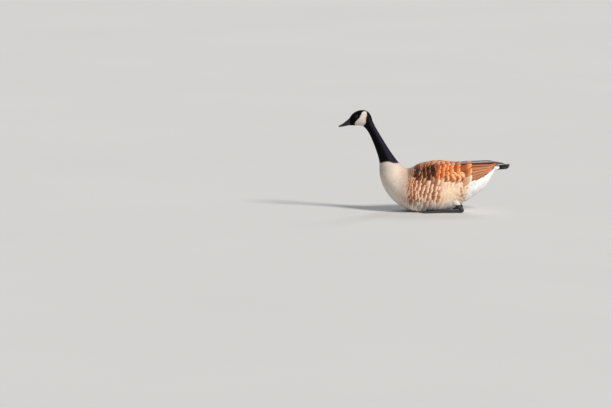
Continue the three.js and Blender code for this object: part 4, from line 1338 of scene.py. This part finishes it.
def thighs():
    """Short feathers over the top of each leg."""
    rng = np.random.default_rng(SEED + 9)
    core, faces = capped(off_section(THIGH, np.linspace(0.05, 2.9, 16)[:, None], ring(32)[None], -0.8))
    tone = np.broadcast_to(GREY_BUFF * 0.6, core.shape)
    t, angle = sleeve_roots(rng, 13, 16, 0.35, 0.2, 0.04, 5)
    n = len(t)
    form = Form(n).plate(rng, ROUND, 6, 7, 0.05).barbs(rng, 10, 0.05).done()
    points = lay(THIGH, t, angle, 8.5 + 3 * step(0, 2, t), 7 + 2.5 * step(0, 2, t), form, draw(rng, n, 8),
                 root=-0.6, tip=0.9, camber=0.15, slope=0.1)
    for side, label in SIDES:
        coat = Coat(f"thigh_{label}", "body", "body_plumage")
        look = varied(plain(GREY_BUFF, n, 0.25, WHITE, 0.5), rng, 0.08)
        coat.add(points - [0, THIGH_OUT, 0], form, look, bake_place(2.0 + t * 0.4, angle))
        coat.build(mirror=side > 0)
        piece(f"thigh_{label}_skin", core - [0, THIGH_OUT, 0], faces, MATERIALS["skin"], "body_plumage",
              bake=unwrap(core), colours={"tone": tone}, mirror=side > 0)


def legs():
    """Both legs and feet: the left one's shapes, and the same mirrored."""
    scales = leg_material()
    horn = horn_material("claw_horn", (0.02, 0.019, 0.018), 0.4, 300.0)
    shapes = [
        ("leg_{}_skin", within(tube(LEG, 90, 24, 0.012), low=FOOT_STARTS), scales, ["leg_{}"]),
        ("hind_toe_{}", tube(HIND_TOE, 16, 14, 0.02), scales, []),
        ("hind_claw_{}", tube(HIND_CLAW, 12, 12), horn, []),
        ("foot_{}_toes", joined(toe(tip, joints) for tip, joints in TOES), scales, ["foot_{}"]),
        ("claws_{}", joined(claw(tip) for tip, _ in TOES), horn, []),
        ("web_{}_1", web(TOES[0][0], TOES[1][0]), scales, []),
        ("web_{}_2", web(TOES[1][0], TOES[2][0]), scales, []),
    ]
    for side, label in SIDES:
        for name, (points, faces), material, nodes in shapes:
            piece(name.format(label), points, faces, material, "leg_skin",
                  *(node.format(label) for node in nodes), mirror=side > 0)


# Floor, light and camera. The camera and what it aims at are in metres.

# Millimetres for each pixel of the photograph at the goose, and the photograph's width in pixels.
PHOTO_SCALE = 3.9
PHOTO_WIDTH = 612
SENSOR = 36
CAMERA_DISTANCE = 17.9
CAMERA_HEIGHT = math.radians(6.5)
AIM = (-0.4836, 0.0, 0.0291)
FLOOR_HALF = 60 / MM
SKY_COLOUR = (0.78, 0.88, 1.0, 1)
SKY_STRENGTH = 0.34
# The direction each sun shines from, its power, its spread in degrees and its colour.
SUNS = {
    "key": ((2.0, -1.9, 2.2), 3.4, 14, (1.0, 0.93, 0.84)),
    "rim": ((1.0, 2.4, 1.8), 0.7, 20, (1.0, 0.96, 0.9)),
}


def into_scene(name, data):
    obj = bpy.data.objects.new(name, data)
    bpy.context.scene.collection.objects.link(obj)
    return obj


def floor():
    g = Graph("floor")
    g.surface(g.blend((0.60, 0.60, 0.60, 1), (0.64, 0.64, 0.64, 1), g.noise(0.8, 2.0)), 0.9, 0.2)
    corners = [(x * FLOOR_HALF, y * FLOOR_HALF, 0) for x, y in ((-1, -1), (1, -1), (1, 1), (-1, 1))]
    floor = make_mesh("floor", corners, [(0, 1, 2, 3)], g.material, smooth=False)


def sun(name, toward, power, spread, colour):
    """A soft sun that shines from a direction."""
    light = bpy.data.lights.new(name, "SUN")
    light.energy = power
    light.angle = math.radians(spread)
    light.color = colour
    obj = into_scene(name, light)
    x, y, z = toward
    obj.location = toward
    obj.rotation_euler = (math.atan2(math.hypot(x, y), z), 0, math.atan2(-y, -x) - math.pi / 2)


def camera():
    """The photograph's view."""
    data = bpy.data.cameras.new("camera")
    data.sensor_width = SENSOR
    data.lens = SENSOR * CAMERA_DISTANCE / (PHOTO_WIDTH * PHOTO_SCALE * MM)
    data.clip_end = 200
    camera = into_scene("camera", data)
    camera.location = (AIM[0], AIM[1] - CAMERA_DISTANCE * math.cos(CAMERA_HEIGHT),
                       AIM[2] + CAMERA_DISTANCE * math.sin(CAMERA_HEIGHT))
    camera.rotation_euler = (math.pi / 2 - CAMERA_HEIGHT, 0, 0)
    bpy.context.scene.camera = camera


def studio():
    floor()
    world = bpy.data.worlds.new("studio")
    bpy.context.scene.world = world
    world.use_nodes = True
    sky = world.node_tree.nodes["Background"].inputs
    sky["Color"].default_value = SKY_COLOUR
    sky["Strength"].default_value = SKY_STRENGTH
    for name, values in SUNS.items():
        sun(name, *values)
    camera()
    bpy.context.scene.view_settings.view_transform = "Standard"


skin()
plumage()
for side, label in SIDES:
    wing(side, label)
tail()
eyes()
bills()
thighs()
legs()
studio()
